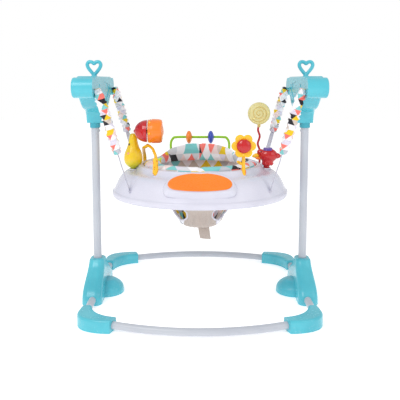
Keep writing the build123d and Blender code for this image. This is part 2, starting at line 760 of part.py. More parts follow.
# Bird that turns on a round foot
bx, by = bird_at
with BuildPart() as bird_toy:
    rod((bx, by, tray_top_z + 0.5), (0, 0, 1), 12, 34)
    rod((bx, by, 476), (0, 0, 1), 19, 18)
    with Locations((bx + 6, by, 513)):
        Sphere(26)
    with Locations((bx + 20, by, 511)):
        Sphere(20)
    rod((bx - 14, by, 508), (-1, 0, 0.1), 8, 38)
    rod((bx + 30, by, 511), (1, 0, 0.05), 9, 24)
    rod((bx + 4, by, 530), (0, 0, 1), 18, 10)
save(bird_toy, "bird_toy")
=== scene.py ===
import json
import math

import bmesh
import bpy
import numpy as np
from mathutils import Matrix, Vector, noise


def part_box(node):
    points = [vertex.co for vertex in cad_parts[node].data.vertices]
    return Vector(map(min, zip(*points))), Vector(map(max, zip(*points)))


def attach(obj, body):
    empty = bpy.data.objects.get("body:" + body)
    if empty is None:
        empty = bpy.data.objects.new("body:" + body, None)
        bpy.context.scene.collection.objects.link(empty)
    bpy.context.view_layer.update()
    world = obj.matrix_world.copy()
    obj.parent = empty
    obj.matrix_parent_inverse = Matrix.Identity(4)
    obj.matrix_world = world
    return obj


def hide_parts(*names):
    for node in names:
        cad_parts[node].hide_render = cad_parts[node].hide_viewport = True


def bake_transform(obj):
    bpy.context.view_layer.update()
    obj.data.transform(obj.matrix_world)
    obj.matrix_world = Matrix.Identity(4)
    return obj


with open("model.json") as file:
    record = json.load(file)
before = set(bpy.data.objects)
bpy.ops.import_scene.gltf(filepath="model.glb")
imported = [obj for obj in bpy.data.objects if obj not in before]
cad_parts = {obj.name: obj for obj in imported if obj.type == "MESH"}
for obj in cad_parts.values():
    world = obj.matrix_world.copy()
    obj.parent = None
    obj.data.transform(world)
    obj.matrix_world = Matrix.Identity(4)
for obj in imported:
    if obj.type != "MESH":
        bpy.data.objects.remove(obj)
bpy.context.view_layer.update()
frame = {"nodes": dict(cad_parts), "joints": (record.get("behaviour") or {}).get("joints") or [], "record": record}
joints = {joint["name"]: joint for joint in frame["joints"]}
sides = {"left": -1, "right": 1}
ends = {"front": -1, "rear": 1}
print("frame loaded:", len(frame["nodes"]), "nodes")

# Camera
lens = {"distance": 2.0375, "height": 0.7846, "tiltDown": 6.057, "focal": 50.72, "shift": -0.15}
camera = bpy.data.objects.new("camera", bpy.data.cameras.new("camera"))
camera.data.lens = lens["focal"]
camera.data.shift_y = lens["shift"]
camera.location = (0, -lens["distance"], lens["height"])
camera.rotation_euler = (math.radians(90 - lens["tiltDown"]), 0, 0)
bpy.context.scene.collection.objects.link(camera)
bpy.context.scene.camera = camera


# --- Node maths as plain expressions ---
def plug(tree, entry, term):
    if isinstance(term, Value):
        tree.links.new(term.socket, entry)
    else:
        entry.default_value = term


class Value:
    # a socket that the usual operators work on; each adds a Math node
    def __init__(self, tree, socket):
        self.tree, self.socket = tree, socket

    def maths(self, operation, *terms):
        node = self.tree.nodes.new("ShaderNodeMath")
        node.operation = operation
        for entry, term in zip(node.inputs, terms):
            plug(self.tree, entry, term)
        return Value(self.tree, node.outputs[0])

    def __add__(self, other):
        return self.maths("ADD", self, other)

    def __radd__(self, other):
        return self.maths("ADD", other, self)

    def __sub__(self, other):
        return self.maths("SUBTRACT", self, other)

    def __rsub__(self, other):
        return self.maths("SUBTRACT", other, self)

    def __mul__(self, other):
        return self.maths("MULTIPLY", self, other)

    def __rmul__(self, other):
        return self.maths("MULTIPLY", other, self)

    def __truediv__(self, other):
        return self.maths("DIVIDE", self, other)

    def __rtruediv__(self, other):
        return self.maths("DIVIDE", other, self)

    def __gt__(self, other):
        return self.maths("GREATER_THAN", self, other)

    def __lt__(self, other):
        return self.maths("LESS_THAN", self, other)

    def floor(self):
        return self.maths("FLOOR", self)

    def fraction(self):
        return self.maths("FRACT", self)

    def sine(self):
        return self.maths("SINE", self)


class Graph:
    # any other node: its type, its settings first, then the values or links of its sockets
    def __init__(self, tree):
        self.tree = tree

    def node(self, kind, settings=None, inputs=None, output=0):
        node = self.tree.nodes.new(kind)
        for key, setting in (settings or {}).items():
            if key == "stops":
                self.fillRamp(node.color_ramp, setting)
            else:
                setattr(node, key, setting)
        for key, term in (inputs or {}).items():
            plug(self.tree, node.inputs[key], term)
        return Value(self.tree, node.outputs[output])

    def fillRamp(self, ramp, stops):
        while len(ramp.elements) < len(stops):
            ramp.elements.new(1)
        for element, (position, colour) in zip(ramp.elements, stops):
            element.position = position
            element.color = colour


class Finish(Graph):
    # a material round one Principled shader
    def __init__(self, name, **constants):
        self.material = bpy.data.materials.new(name)
        self.material.use_nodes = True
        super().__init__(self.material.node_tree)
        self.tree.nodes.clear()
        self.shader = self.tree.nodes.new("ShaderNodeBsdfPrincipled")
        out = self.tree.nodes.new("ShaderNodeOutputMaterial")
        self.tree.links.new(self.shader.outputs[0], out.inputs[0])
        for key, constant in constants.items():
            self.shader.inputs[key.replace("_", " ")].default_value = constant

    def place(self):
        return self.node("ShaderNodeTexCoord", output="Object")

    def noise(self, place, scale, detail=2.0, roughness=0.5):
        return self.node("ShaderNodeTexNoise", {},
                         {"Vector": place, "Scale": scale, "Detail": detail, "Roughness": roughness})

    def mix(self, factor, first, second):
        return self.node("ShaderNodeMix", {"data_type": "RGBA"}, {0: factor, 6: first, 7: second}, 2)

    def range(self, term, low, high, newLow, newHigh):
        return self.node("ShaderNodeMapRange", {}, {0: term, 1: low, 2: high, 3: newLow, 4: newHigh})

    def feed(self, **terms):
        for key, term in terms.items():
            plug(self.tree, self.shader.inputs[key.replace("_", " ")], term)

    def bump(self, height, strength, distance):
        self.feed(Normal=self.node("ShaderNodeBump", {},
                                   {"Height": height, "Strength": strength, "Distance": distance}))


def rgb(code, lighten=1.0):
    # a display colour such as "4db8c8" as linear light
    parts = [int(code[i:i + 2], 16) / 255 for i in (0, 2, 4)]
    linear = [p / 12.92 if p <= 0.04045 else ((p + 0.055) / 1.055) ** 2.4 for p in parts]
    return (*[min(1, part * lighten) for part in linear], 1)


# --- Finishes ---
def plastic(name, colour, shade, roughness=0.22, coat=0.16, grain=0.08, scuff=0.15):
    # moulded plastic: cloudy colour, an uneven skin, fine scratches and scuffs near the floor
    finish = Finish(name, Coat_Weight=coat, Coat_Roughness=0.12, IOR=1.48)
    place = finish.place()
    cloud = finish.noise(place, 11, 3)
    skin = finish.noise(place, 380, 2)
    scratch = finish.noise(finish.node("ShaderNodeMapping", {}, {"Vector": place, "Scale": (40, 40, 900)}),
                           3, 3)
    height = finish.node("ShaderNodeSeparateXYZ", {}, {0: place}, 2)
    low = finish.range(height, 0.05, 0.004, 0, 1)
    worn = finish.range(finish.noise(place, 70, 5, 0.7), 0.56, 0.68, 0, 1) * low * scuff
    base = finish.mix(finish.range(cloud, 0.3, 0.7, 0, 1), colour, shade)
    finish.feed(Base_Color=finish.mix(worn, base, (0.75, 0.78, 0.8, 1)))
    finish.feed(Roughness=finish.range(scratch, 0.35, 0.7, roughness * 0.8, roughness * 1.35) + worn * 0.3)
    finish.bump(skin * 0.7 + scratch * 0.3, grain, 0.0006)
    return finish.material


def paintedTube(name, colour, shade):
    # powder coat: a fine pebbled skin, with thin rub marks round the tube
    finish = Finish(name, Metallic=0.0, Coat_Weight=0.2, Coat_Roughness=0.25)
    place = finish.place()
    pebble = finish.noise(place, 900, 2)
    cloud = finish.noise(place, 6, 2)
    rub = finish.noise(finish.node("ShaderNodeMapping", {}, {"Vector": place, "Scale": (8, 8, 260)}), 2, 4)
    finish.feed(Base_Color=finish.mix(finish.range(cloud, 0.3, 0.7, 0, 1), colour, shade))
    finish.feed(Roughness=finish.range(rub, 0.4, 0.7, 0.3, 0.42))
    finish.bump(pebble, 0.12, 0.0004)
    return finish.material


def metal(name, colour, roughness, turning):
    # plated steel with turning or drawing marks and dull spots
    finish = Finish(name, Metallic=1.0)
    place = finish.place()
    lines = finish.noise(finish.node("ShaderNodeMapping", {}, {"Vector": place, "Scale": turning}), 4, 3)
    spots = finish.noise(place, 160, 4)
    finish.feed(Base_Color=finish.mix(finish.range(spots, 0.45, 0.75, 0, 1), colour, (0.32, 0.32, 0.33, 1)))
    finish.feed(Roughness=finish.range(lines, 0.3, 0.7, roughness * 0.7, roughness * 1.5))
    finish.bump(lines, 0.2, 0.0003)
    return finish.material


def rubber(name, colour):
    finish = Finish(name, Roughness=0.8)
    place = finish.place()
    dust = finish.noise(place, 90, 5, 0.7)
    finish.feed(Base_Color=finish.mix(finish.range(dust, 0.45, 0.7, 0, 0.6), colour, (0.3, 0.3, 0.31, 1)))
    finish.feed(Roughness=finish.range(dust, 0.3, 0.7, 0.7, 0.92))
    finish.bump(finish.noise(place, 700, 3), 0.3, 0.0005)
    return finish.material


def threads(finish, across, along, count):
    # height of a plain weave, from the piece's own lengths in metres
    return (across * count).sine() * (along * count).sine() * 0.5 + 0.5


def clothPlace(finish):
    flat = finish.node("ShaderNodeUVMap", {"uv_map": "cloth"})
    return (finish.node("ShaderNodeSeparateXYZ", {}, {0: flat}, 0),
            finish.node("ShaderNodeSeparateXYZ", {}, {0: flat}, 1))


printColours = {
    "white": (rgb("f8f6fa"), 0.0), "lavender": (rgb("e2dcec"), 0.24), "paleGrey": (rgb("dcdce2"), 0.32),
    "palePink": (rgb("f6dfdd"), 0.41), "beige": (rgb("d8cbc0"), 0.48), "offWhite": (rgb("f8f6fa"), 0.53),
    "teal": (rgb("7fcfd0"), 0.61), "coral": (rgb("ff7c70"), 0.71), "black": (rgb("18141f"), 0.79),
    "yellow": (rgb("f2cc12"), 0.89), "grey": (rgb("c4c7cf"), 0.97),
}


def printedCloth(name, triangle, seed, weave=4200, slub=0.5):
    # cloth printed with a lattice of triangles, each in one of the print's colours
    finish = Finish(name, Sheen_Weight=0.08, Sheen_Roughness=0.5, Specular_IOR_Level=0.3)
    across, along = clothPlace(finish)
    row = along / (triangle * 0.866)
    slant = across / triangle - row * 0.5
    upper = (row.fraction() + slant.fraction()) > 1.0
    cell = finish.node("ShaderNodeCombineXYZ", {},
                       {0: slant.floor(), 1: row.floor(), 2: upper * 3.7 + seed})
    pick = finish.node("ShaderNodeTexWhiteNoise", {"noise_dimensions": "3D"}, {"Vector": cell})
    stops = [(position, colour) for colour, position in printColours.values()]
    ramp = finish.node("ShaderNodeValToRGB", {"stops": stops}, {0: pick})
    ramp.socket.node.color_ramp.interpolation = "CONSTANT"
    place = finish.place()
    weft = threads(finish, across, along, weave)
    soil = finish.noise(place, 26, 4)
    shade = finish.mix(finish.range(soil, 0.35, 0.75, 0, 0.06), ramp, (0.5, 0.48, 0.5, 1))
    finish.feed(Base_Color=finish.mix(weft * 0.06, shade, (0.25, 0.24, 0.27, 1)))
    finish.feed(Roughness=finish.range(weft, 0, 1, 0.92, 0.74))
    finish.bump(weft + finish.noise(place, 240, 3) * slub, 0.35, 0.0005)
    return finish.material


def plainCloth(name, colour, shade, weave=3600, ribs=0.0):
    # one-colour tape or lining: weave, slubs and, for webbing, ribs along it
    finish = Finish(name, Sheen_Weight=0.2, Sheen_Roughness=0.5, Specular_IOR_Level=0.3)
    across, along = clothPlace(finish)
    place = finish.place()
    weft = threads(finish, across, along, weave)
    rib = (across * 3900).sine() * ribs
    slub = finish.noise(place, 300, 3)
    finish.feed(Base_Color=finish.mix(finish.range(slub, 0.3, 0.7, 0, 1) * 0.6 + weft * 0.3, colour, shade))
    finish.feed(Roughness=finish.range(weft, 0, 1, 0.9, 0.7))
    finish.bump(weft + rib + slub * 0.4, 0.45, 0.0006)
    return finish.material


aqua, aquaShade = rgb("57c3d3"), rgb("4ab4c6")
finishes = {
    "frame_tube": paintedTube("tubePaint", rgb("c3c7cf"), rgb("b9bdc7")),
    "zinc_steel": metal("zincSteel", (0.62, 0.63, 0.65, 1), 0.3, (3, 3, 500)),
    "aqua_plastic": plastic("aquaPlastic", aqua, aquaShade),
    "teal_plastic": plastic("tealPlastic", rgb("3fa9bb"), rgb("379db0")),
    "pad_rubber": rubber("padRubber", (0.035, 0.037, 0.04, 1)),
    "spring_steel": metal("springSteel", (0.5, 0.51, 0.53, 1), 0.35, (200, 200, 3)),
    "sleeve_fabric": printedCloth("sleevePrint", 0.03, 4.0),
    "strap_webbing": plainCloth("strapWebbing", rgb("dcdce8"), rgb("bfc0d0"), 2600, 0.5),
    "grey_plastic": plastic("greyPlastic", rgb("c9c9d0"), rgb("bfbfc8"), 0.4, 0.0, 0.2),
    "tray_white": plastic("trayWhite", rgb("d8d7e4"), rgb("d2d1df"), 0.24, 0.15, 0.05, 0.0),
    "panel_orange": plastic("panelOrange", rgb("ff8418"), rgb("fa7a12"), 0.3, 0.25, 0.12, 0.0),
    "seat_fabric": printedCloth("seatPrint", 0.041, 9.0),
    "beige_webbing": plainCloth("beigeTape", rgb("cdbfb6"), rgb("b5a79f")),
    "bar_green": plastic("barGreen", rgb("a4dc2c"), rgb("98d022"), 0.2, 0.4, 0.06, 0.0),
    "toy_orange": plastic("toyOrange", rgb("ff8a1c"), rgb("f87c10"), 0.2, 0.4, 0.06, 0.0),
    "toy_blue": plastic("toyBlue", rgb("2f4fc4"), rgb("2743ae"), 0.2, 0.4, 0.06, 0.0),
    "toy_yellow": plastic("toyYellow", rgb("ffc81a"), rgb("f8ba10"), 0.22, 0.4, 0.06, 0.0),
    "toy_red": plastic("toyRed", rgb("cc0412"), rgb("b8020e"), 0.16, 0.5, 0.05, 0.0),
}


def lollyFinish(name, colour, shade):
    # cloudy see-through plastic with small bubbles
    finish = Finish(name, Coat_Weight=0.4, Transmission_Weight=0.25, IOR=1.45, Coat_Roughness=0.1)
    place = finish.place()
    cloud = finish.noise(place, 30, 3)
    bubbles = finish.range(finish.node("ShaderNodeTexVoronoi", {}, {"Vector": place, "Scale": 320}), 0.1,
                           0.2, 1, 0)
    finish.feed(Base_Color=finish.mix(finish.range(cloud, 0.3, 0.7, 0, 1), colour, shade))
    finish.feed(Roughness=finish.range(cloud, 0.3, 0.7, 0.16, 0.26) + bubbles * 0.2)
    finish.bump(bubbles + cloud * 0.3, 0.08, 0.0004)
    return finish.material


def pearFinish(name, colour, shade, stalkColour, baseHeight, fade):
    # yellow skin that turns lime towards the base
    finish = Finish(name, Coat_Weight=0.4, Coat_Roughness=0.12)
    place = finish.place()
    height = finish.node("ShaderNodeSeparateXYZ", {}, {0: place}, 2)
    cloud = finish.noise(place, 40, 3)
    skin = finish.mix(finish.range(cloud, 0.3, 0.7, 0, 1), colour, shade)
    low = finish.range(height + cloud * 0.006, baseHeight + fade, baseHeight, 0, 0.85)
    finish.feed(Base_Color=finish.mix(low, skin, stalkColour))
    finish.feed(Roughness=finish.range(cloud, 0.3, 0.7, 0.18, 0.27))
    finish.bump(finish.noise(place, 380, 2), 0.06, 0.0006)
    return finish.material


finishes["lolly_yellow"] = lollyFinish("lollyYellow", rgb("fcf0ae"), rgb("f6e69c"))
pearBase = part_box("pear_toy")[0].z
extras = {
    "pearSkin": pearFinish("pearSkin", rgb("ffd91c"), rgb("f8cc14"), rgb("c3cf1c"), pearBase + 0.012, 0.03),
    "purplePlastic": plastic("purplePlastic", rgb("6b4fa8"), rgb("5f459a"), 0.25, 0.4, 0.06, 0.0),
    "eyeBlack": plastic("eyeBlack", rgb("1b2430"), rgb("141a24"), 0.12, 0.6, 0.04, 0.0),
    "cheekPink": plastic("cheekPink", rgb("ffb3a0"), rgb("ffa592"), 0.35, 0.1, 0.06, 0.0),
    "limePlastic": plastic("limePlastic", rgb("b9dc3a"), rgb("acd02e"), 0.25, 0.4, 0.06, 0.0),
    "spotBrown": plastic("spotBrown", rgb("e0760c"), rgb("d36a08"), 0.3, 0.3, 0.06, 0.0),
    "thread": plainCloth("sewingThread", rgb("efedf2"), rgb("d8d5de"), 9000),
    "spiralOrange": lollyFinish("spiralOrange", rgb("f8da84"), rgb("f2cf74")),
    "lining": plainCloth("liningCloth", rgb("e4e2ea"), rgb("cfccd8")),
}
for part in frame["record"]["subparts"]:
    cadNode = frame["nodes"][part["node"]]
    cadNode.data.materials.clear()
    cadNode.data.materials.append(finishes[part["material_slot"]])
print("finishes made:", len(finishes) + len(extras))


# --- Mesh helpers ---
def present(name, mesh, smooth=True):
    piece = bpy.data.objects.new(name, mesh)
    bpy.context.scene.collection.objects.link(piece)
    mesh.polygons.foreach_set("use_smooth", [smooth] * len(mesh.polygons))
    mesh.update()
    return piece


def faceOut(mesh):
    work = bmesh.new()
    work.from_mesh(mesh)
    bmesh.ops.remove_doubles(work, verts=work.verts, dist=1e-7)
    bmesh.ops.recalc_face_normals(work, faces=work.faces)
    work.to_mesh(mesh)
    work.free()


def grid(name, rows, across=None, along=None, wrap=True, capFirst=False, capLast=False, outward=True):
    # a surface through rows of points; across and along are its lengths in metres, kept as the cloth map
    count = len(rows[0])
    points = [point for row in rows for point in row]
    columns = count if wrap else count - 1
    faces, flats = [], []
    for i in range(len(rows) - 1):
        for j in range(columns):
            k = (j + 1) % count
            faces.append((i * count + j, i * count + k, (i + 1) * count + k, (i + 1) * count + j))
            if across:
                flats += [(across[j], along[i]), (across[j + 1], along[i]), (across[j + 1], along[i + 1]),
                          (across[j], along[i + 1])]
    for row, wanted in ((0, capFirst), (len(rows) - 1, capLast)):
        if wanted:
            points.append(sum((Vector(p) for p in rows[row]), Vector()) / count)
            for j in range(columns):
                faces.append((row * count + j, row * count + (j + 1) % count, len(points) - 1))
                if across:
                    flats += [(across[j], along[row]), (across[j + 1], along[row]), (across[j], along[row])]
    mesh = bpy.data.meshes.new(name)
    mesh.from_pydata([tuple(p) for p in points], [], faces)
    if across:
        mesh.uv_layers.new(name="cloth")
        for loop, flat in zip(mesh.uv_layers["cloth"].data, flats):
            loop.uv = flat
    if outward:
        faceOut(mesh)
    return present(name, mesh)


def flowing(points, perSpan=6, closed=False):
    # a smooth line through the points
    points = [Vector(p) for p in points]
    count = len(points)
    spans = count if closed else count - 1
    line = []
    for i in range(spans):
        around = [points[(i + k) % count] if closed else points[min(max(i + k, 0), count - 1)]
                  for k in (-1, 0, 1, 2)]
        for step in range(perSpan):
            t = step / perSpan
            a, b, c, d = around
            bend = (2 * a - 5 * b + 4 * c - d) * t * t
            line.append(0.5 * (2 * b + (c - a) * t + bend + (3 * b - a - 3 * c + d) * t ** 3))
    if not closed:
        line.append(points[-1])
    return line


def turned(name, profile, centre, axis="Z", steps=72, smooth=5, dent=None):
    # a turned shape from (radius, height) points; an end on the axis is closed at a pole
    line = flowing([(r, 0, h) for r, h in profile], smooth)
    rows = []
    for i, point in enumerate(line):
        radius = max(point.x, 0)
        row = []
        for j in range(steps):
            angle = 2 * math.pi * j / steps
            r = radius * (dent(angle, point.z) if dent else 1)
            local = (r * math.cos(angle), r * math.sin(angle), point.z)
            if axis == "X":
                local = (local[2], local[0], local[1])
            elif axis == "-Y":
                local = (local[0], -local[2], local[1])
            row.append(Vector(centre) + Vector(local))
        rows.append(row)
    first, last = line[0].x < 1e-6, line[-1].x < 1e-6
    closed = (line[0] - line[-1]).length < 1e-6
    if closed:
        rows = [*rows[:-1], rows[0]]
    body = rows[1 if first else 0:-1 if last else None]
    return grid(name, body, capFirst=not closed, capLast=not closed)


def rod(name, points, radius, closed=False, facets=16, perSpan=8, flat=1.0, up=(0, 0, 1)):
    # a round bar along a smooth line; radius is one number or one for each point
    line = flowing(points, perSpan, closed)
    radii = radius if isinstance(radius, (list, tuple)) else [radius] * len(points)
    radii = [v.x for v in flowing([(r, 0, 0) for r in radii], perSpan, closed)]
    rows = []
    normal = Vector(up)
    for i, point in enumerate(line):
        before = line[i - 1] if i or closed else line[0]
        after = line[(i + 1) % len(line)] if i + 1 < len(line) or closed else line[-1]
        tangent = (after - before).normalized()
        normal = (normal - tangent * normal.dot(tangent)).normalized()
        other = tangent.cross(normal)
        row = []
        for j in range(facets):
            angle = 2 * math.pi * j / facets
            row.append(point + (normal * math.cos(angle) * flat + other * math.sin(angle)) * radii[i])
        rows.append(row)
    if closed:
        return grid(name, [*rows, rows[0]])
    return grid(name, rows, capFirst=True, capLast=True)


def ball(centre, radii, turn=0.0, around="Y"):
    # one rounded lump for fused()
    work = bmesh.new()
    bmesh.ops.create_uvsphere(work, u_segments=24, v_segments=16, radius=1)
    shape = Matrix.Translation(centre) @ Matrix.Rotation(math.radians(turn), 4,
            around) @ Matrix.Diagonal((*radii, 1))
    bmesh.ops.transform(work, matrix=shape, verts=work.verts)
    mesh = bpy.data.meshes.new("lump")
    work.to_mesh(mesh)
    work.free()
    return mesh


def baked(piece, name=None):
    # the piece with its modifiers applied, as a plain mesh in a new object
    name = name or piece.name
    piece.name = name + "_draft"
    graph = bpy.context.evaluated_depsgraph_get()
    mesh = bpy.data.meshes.new_from_object(piece.evaluated_get(graph))
    mesh.name = name
    materials = [slot.material for slot in piece.material_slots]
    bpy.data.objects.remove(piece)
    made = present(name, mesh)
    if not made.data.materials:
        for material in materials:
            made.data.materials.append(material)
    return made


def fused(name, lumps, voxel, smoothing=6):
    # several lumps melted into one skin
    work = bmesh.new()
    for lump in lumps:
        work.from_mesh(lump)
    mesh = bpy.data.meshes.new(name)
    work.to_mesh(mesh)
    work.free()
    piece = present(name, mesh)
    melt = piece.modifiers.new("melt", "REMESH")
    melt.mode, melt.voxel_size = "VOXEL", voxel
    soften = piece.modifiers.new("soften", "SMOOTH")
    soften.iterations, soften.factor = smoothing, 0.5
    return baked(piece)


def joined(name, pieces):
    # several pieces of one finish as one object
    work = bmesh.new()
    for piece in pieces:
        work.from_mesh(piece.data)
    mesh = bpy.data.meshes.new(name)
    work.to_mesh(mesh)
    work.free()
    for piece in pieces:
        bpy.data.objects.remove(piece)
    return present(name, mesh)


def rounded(piece, levels=1, wall=0.0):
    if wall:
        shell = piece.modifiers.new("wall", "SOLIDIFY")
        shell.thickness, shell.offset, shell.use_even_offset = wall, -1, True
    if levels:
        subdivide = piece.modifiers.new("round", "SUBSURF")
        subdivide.levels = subdivide.render_levels = levels
    return piece


def settle(piece, body, slot, material=None, stands=()):
    # gives a finished piece its finish, its body and the CAD nodes that it stands for
    if material or not piece.data.materials:
        piece.data.materials.clear()
        piece.data.materials.append(material or finishes[slot])
    if body:
        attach(piece, body)
    if stands:
        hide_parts(*stands)
    return piece


# --- Geometry Nodes ---
class Growth(Graph):
    # a Geometry Nodes tree with named inputs
    def __init__(self, name, inputs):
        super().__init__(bpy.data.node_groups.new(name, "GeometryNodeTree"))
        face = self.tree.interface
        face.new_socket("Geometry", in_out="INPUT", socket_type="NodeSocketGeometry")
        for key, kind in inputs.items():
            face.new_socket(key, in_out="INPUT", socket_type=f"NodeSocket{kind}")
        face.new_socket("Geometry", in_out="OUTPUT", socket_type="NodeSocketGeometry")
        self.start = self.tree.nodes.new("NodeGroupInput")
        self.end = self.tree.nodes.new("NodeGroupOutput")

    def given(self, key):
        return Value(self.tree, self.start.outputs[key])

    def close(self, geometry, material):
        real = self.node("GeometryNodeRealizeInstances", {}, {0: geometry})
        made = self.node("GeometryNodeSetMaterial", {}, {0: real, "Material": material})
        self.tree.links.new(made.socket, self.end.inputs[0])

    def grow(self, name, base, **terms):
        # runs the tree on a base and keeps the plain mesh
        modifier = base.modifiers.new("growth", "NODES")
        modifier.node_group = self.tree
        for item in self.tree.interface.items_tree:
            if item.in_out == "INPUT" and item.name.replace(" ", "") in terms:
                modifier[item.identifier] = terms[item.name.replace(" ", "")]
        return baked(base, name)


def polyline(name, lines, closed=False):
    # loose edges for a tree to follow
    points, edges = [], []
    for line in lines:
        start = len(points)
        points += [tuple(p) for p in line]
        edges += [(start + i, start + i + 1) for i in range(len(line) - 1)]
        if closed:
            edges.append((start + len(line) - 1, start))
    mesh = bpy.data.meshes.new(name)
    mesh.from_pydata(points, edges, [])
    base = bpy.data.objects.new(name, mesh)
    bpy.context.scene.collection.objects.link(base)
    return base


def stitchTree():
    # short threads laid end to end along every line of the base
    growth = Growth("stitches", {"Spacing": "Float", "Stitch Length": "Float", "Thread": "Float"})
    line = growth.node("GeometryNodeMeshToCurve", {}, {0: growth.given("Geometry")})
    points = growth.node("GeometryNodeCurveToPoints", {"mode": "LENGTH"},
                         {0: line, "Length": growth.given("Spacing")})
    turn = Value(growth.tree, points.socket.node.outputs["Rotation"])
    stitch = growth.node("GeometryNodeMeshUVSphere", {}, {"Segments": 6, "Rings": 5, "Radius": 0.5})
    size = growth.node("ShaderNodeCombineXYZ", {}, {
        0: growth.given("Thread"), 1: growth.given("Thread"), 2: growth.given("Stitch Length")})
    laid = growth.node("GeometryNodeInstanceOnPoints", {},
                       {0: points, "Instance": stitch, "Rotation": turn, "Scale": size})
    growth.close(laid, extras["thread"])
    return growth


def coilTree():
    # a wound spring from the base's origin up, turned to its own line
    growth = Growth("coil", {"Turns": "Float", "Radius": "Float", "Length": "Float", "Wire": "Float",
                             "Foot": "Vector", "Tilt": "Rotation"})
    spiral = growth.node("GeometryNodeCurveSpiral", {}, {
        "Resolution": 14, "Rotations": growth.given("Turns"), "Start Radius": growth.given("Radius"),
        "End Radius": growth.given("Radius"), "Height": growth.given("Length")})
    section = growth.node("GeometryNodeCurvePrimitiveCircle", {},
                          {"Resolution": 6, "Radius": growth.given("Wire")})
    wire = growth.node("GeometryNodeCurveToMesh", {}, {0: spiral, 1: section, "Fill Caps": True})
    placed = growth.node("GeometryNodeTransform", {}, {
        0: wire, "Translation": growth.given("Foot"), "Rotation": growth.given("Tilt")})
    smooth = growth.node("GeometryNodeSetShadeSmooth", {}, {0: placed})
    growth.close(smooth, finishes["spring_steel"])
    return growth


stitches = stitchTree()


def sew(name, lines, body, spacing=0.0048, length=0.0034, thread=0.0009, closed=False):
    piece = stitches.grow(name, polyline(name + "_line", lines, closed), Spacing=spacing,
                          StitchLength=length, Thread=thread)
    if body:
        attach(piece, body)
    return piece


# --- Tray ---
tray = {
    "deckEdge": [(0.462, 0.260, 0.236), (0.452, 0.277, 0.248)],
    "slope": [(0.430, 0.295, 0.262), (0.397, 0.311, 0.274)],
    "crease": [(0.3945, 0.3115, 0.2745), (0.392, 0.3155, 0.2785), (0.389, 0.3185, 0.2815)],
    "skirt": [(0.382, 0.3188, 0.2818), (0.376, 0.3182, 0.2812), (0.3705, 0.3145, 0.2775)],
    "hole": 0.206, "wall": 0.0034, "groove": 0.005, "grooveWidth": 0.010, "steps": 240,
}
strap = {
    "hanger": (0.335, 0.190, 0.750), "anchor": (0.237, 0.165, 0.411), "width": 0.016, "thickness": 0.0016,
    "sleeveTop": 0.757, "fixedEnd": 0.738, "sleeveBottom": {"front": 0.540, "rear": 0.582},
}


def strapPoint(side, end, height):
    hanger, anchor = Vector(strap["hanger"]), Vector(strap["anchor"])
    t = (height - anchor.z) / (hanger.z - anchor.z)
    point = anchor.lerp(hanger, t)
    return Vector((side * point.x, end * point.y, height))


def makeTray():
    # the deck, slope and skirt as one moulding, dented under each strap
    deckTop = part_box("tray_shell")[1].z
    hole = tray["hole"]
    levels = [(deckTop - 0.010, hole, hole), (deckTop - 0.002, hole, hole),
              (deckTop - 0.0004, hole + 0.0012, hole + 0.0012),
              (deckTop, hole + 0.004, hole + 0.004), (deckTop, hole + 0.010, hole + 0.010),
              (deckTop - 0.0012, hole + 0.0115, hole + 0.0115),
              (deckTop - 0.0012, hole + 0.0135, hole + 0.0135),
              (deckTop, hole + 0.015, hole + 0.015)]
    edge = tray["deckEdge"]
    levels += [(edge[0][0], edge[0][1] - 0.030, edge[0][2] - 0.010),
               (edge[0][0] - 0.0004, edge[0][1] - 0.008, edge[0][2] - 0.003)]
    levels += [(0.4595, 0.266, 0.240), edge[1], (0.442, 0.287, 0.2555), *tray["slope"], *tray["crease"],
               *tray["skirt"]]
    rows = []
    for z, halfWidth, halfDepth in levels:
        row = []
        for j in range(tray["steps"]):
            angle = 2 * math.pi * j / tray["steps"]
            point = Vector((halfWidth * math.cos(angle), halfDepth * math.sin(angle), z))
            if 0.398 < z < 0.4605:
                for side in sides.values():
                    for end in ends.values():
                        under = strapPoint(side, end, max(z, strap["anchor"][2]))
                        away = (Vector((point.x, point.y)) - Vector((under.x, under.y)))
                        along = Vector((-under.y, under.x)).normalized()
                        near = math.exp(-(away.dot(along) / tray["grooveWidth"]) ** 2)
                        if away.length < 0.06:
                            point -= Vector((point.x, point.y, 0)).normalized() * near * tray["groove"]
            row.append(point)
        rows.append(row)
    shell = grid("trayShell", rows, outward=False)
    faceOut(shell.data)
    middle = shell.data.polygons[int(len(shell.data.polygons) * 0.45)]
    if middle.normal.z < 0:
        shell.data.flip_normals()
    rounded(shell, 1, tray["wall"])
    return settle(shell, "tray", "tray_white", stands=["tray_shell"])


makeTray()

# Slot rims where the webbing goes through the tray
slotRim = {"half": 0.0105, "reach": 0.0042, "bar": 0.0013, "height": 0.4125}
for endName, end in ends.items():
    for sideName, side in sides.items():
        middle = strapPoint(side, end, slotRim["height"])
        up = (strapPoint(side, end, 0.7) - middle).normalized()
        wide = Vector((0, 1, 0)) if end < 0 else Vector((1, 0, 0))
        wide = (wide - up * wide.dot(up)).normalized()
        cross = up.cross(wide)
        loop = []
        for j in range(16):
            angle = 2 * math.pi * j / 16
            bulge = abs(math.cos(angle)) ** 0.5 * math.copysign(1, math.cos(angle))
            loop.append(middle + wide * slotRim["half"] * bulge + cross * slotRim["reach"] * math.sin(angle))
        rim = rod(f"slotRim_{endName}_{sideName}", loop, slotRim["bar"], True, 10, 3)
        settle(rim, "tray", "tray_white")

# Console: a white pad at the front of the tray with the orange plate on it
console = {
    "half": 0.104, "arch": 0.036, "foot": 0.038, "shoulder": -0.010,
    "border": 0.007, "depth": 0.034, "clear": 0.2112, "plate": 0.003, "crown": 0.0012,
    "origin": (0, -0.2432, 0.4572), "facing": (0, -48, 53),
}


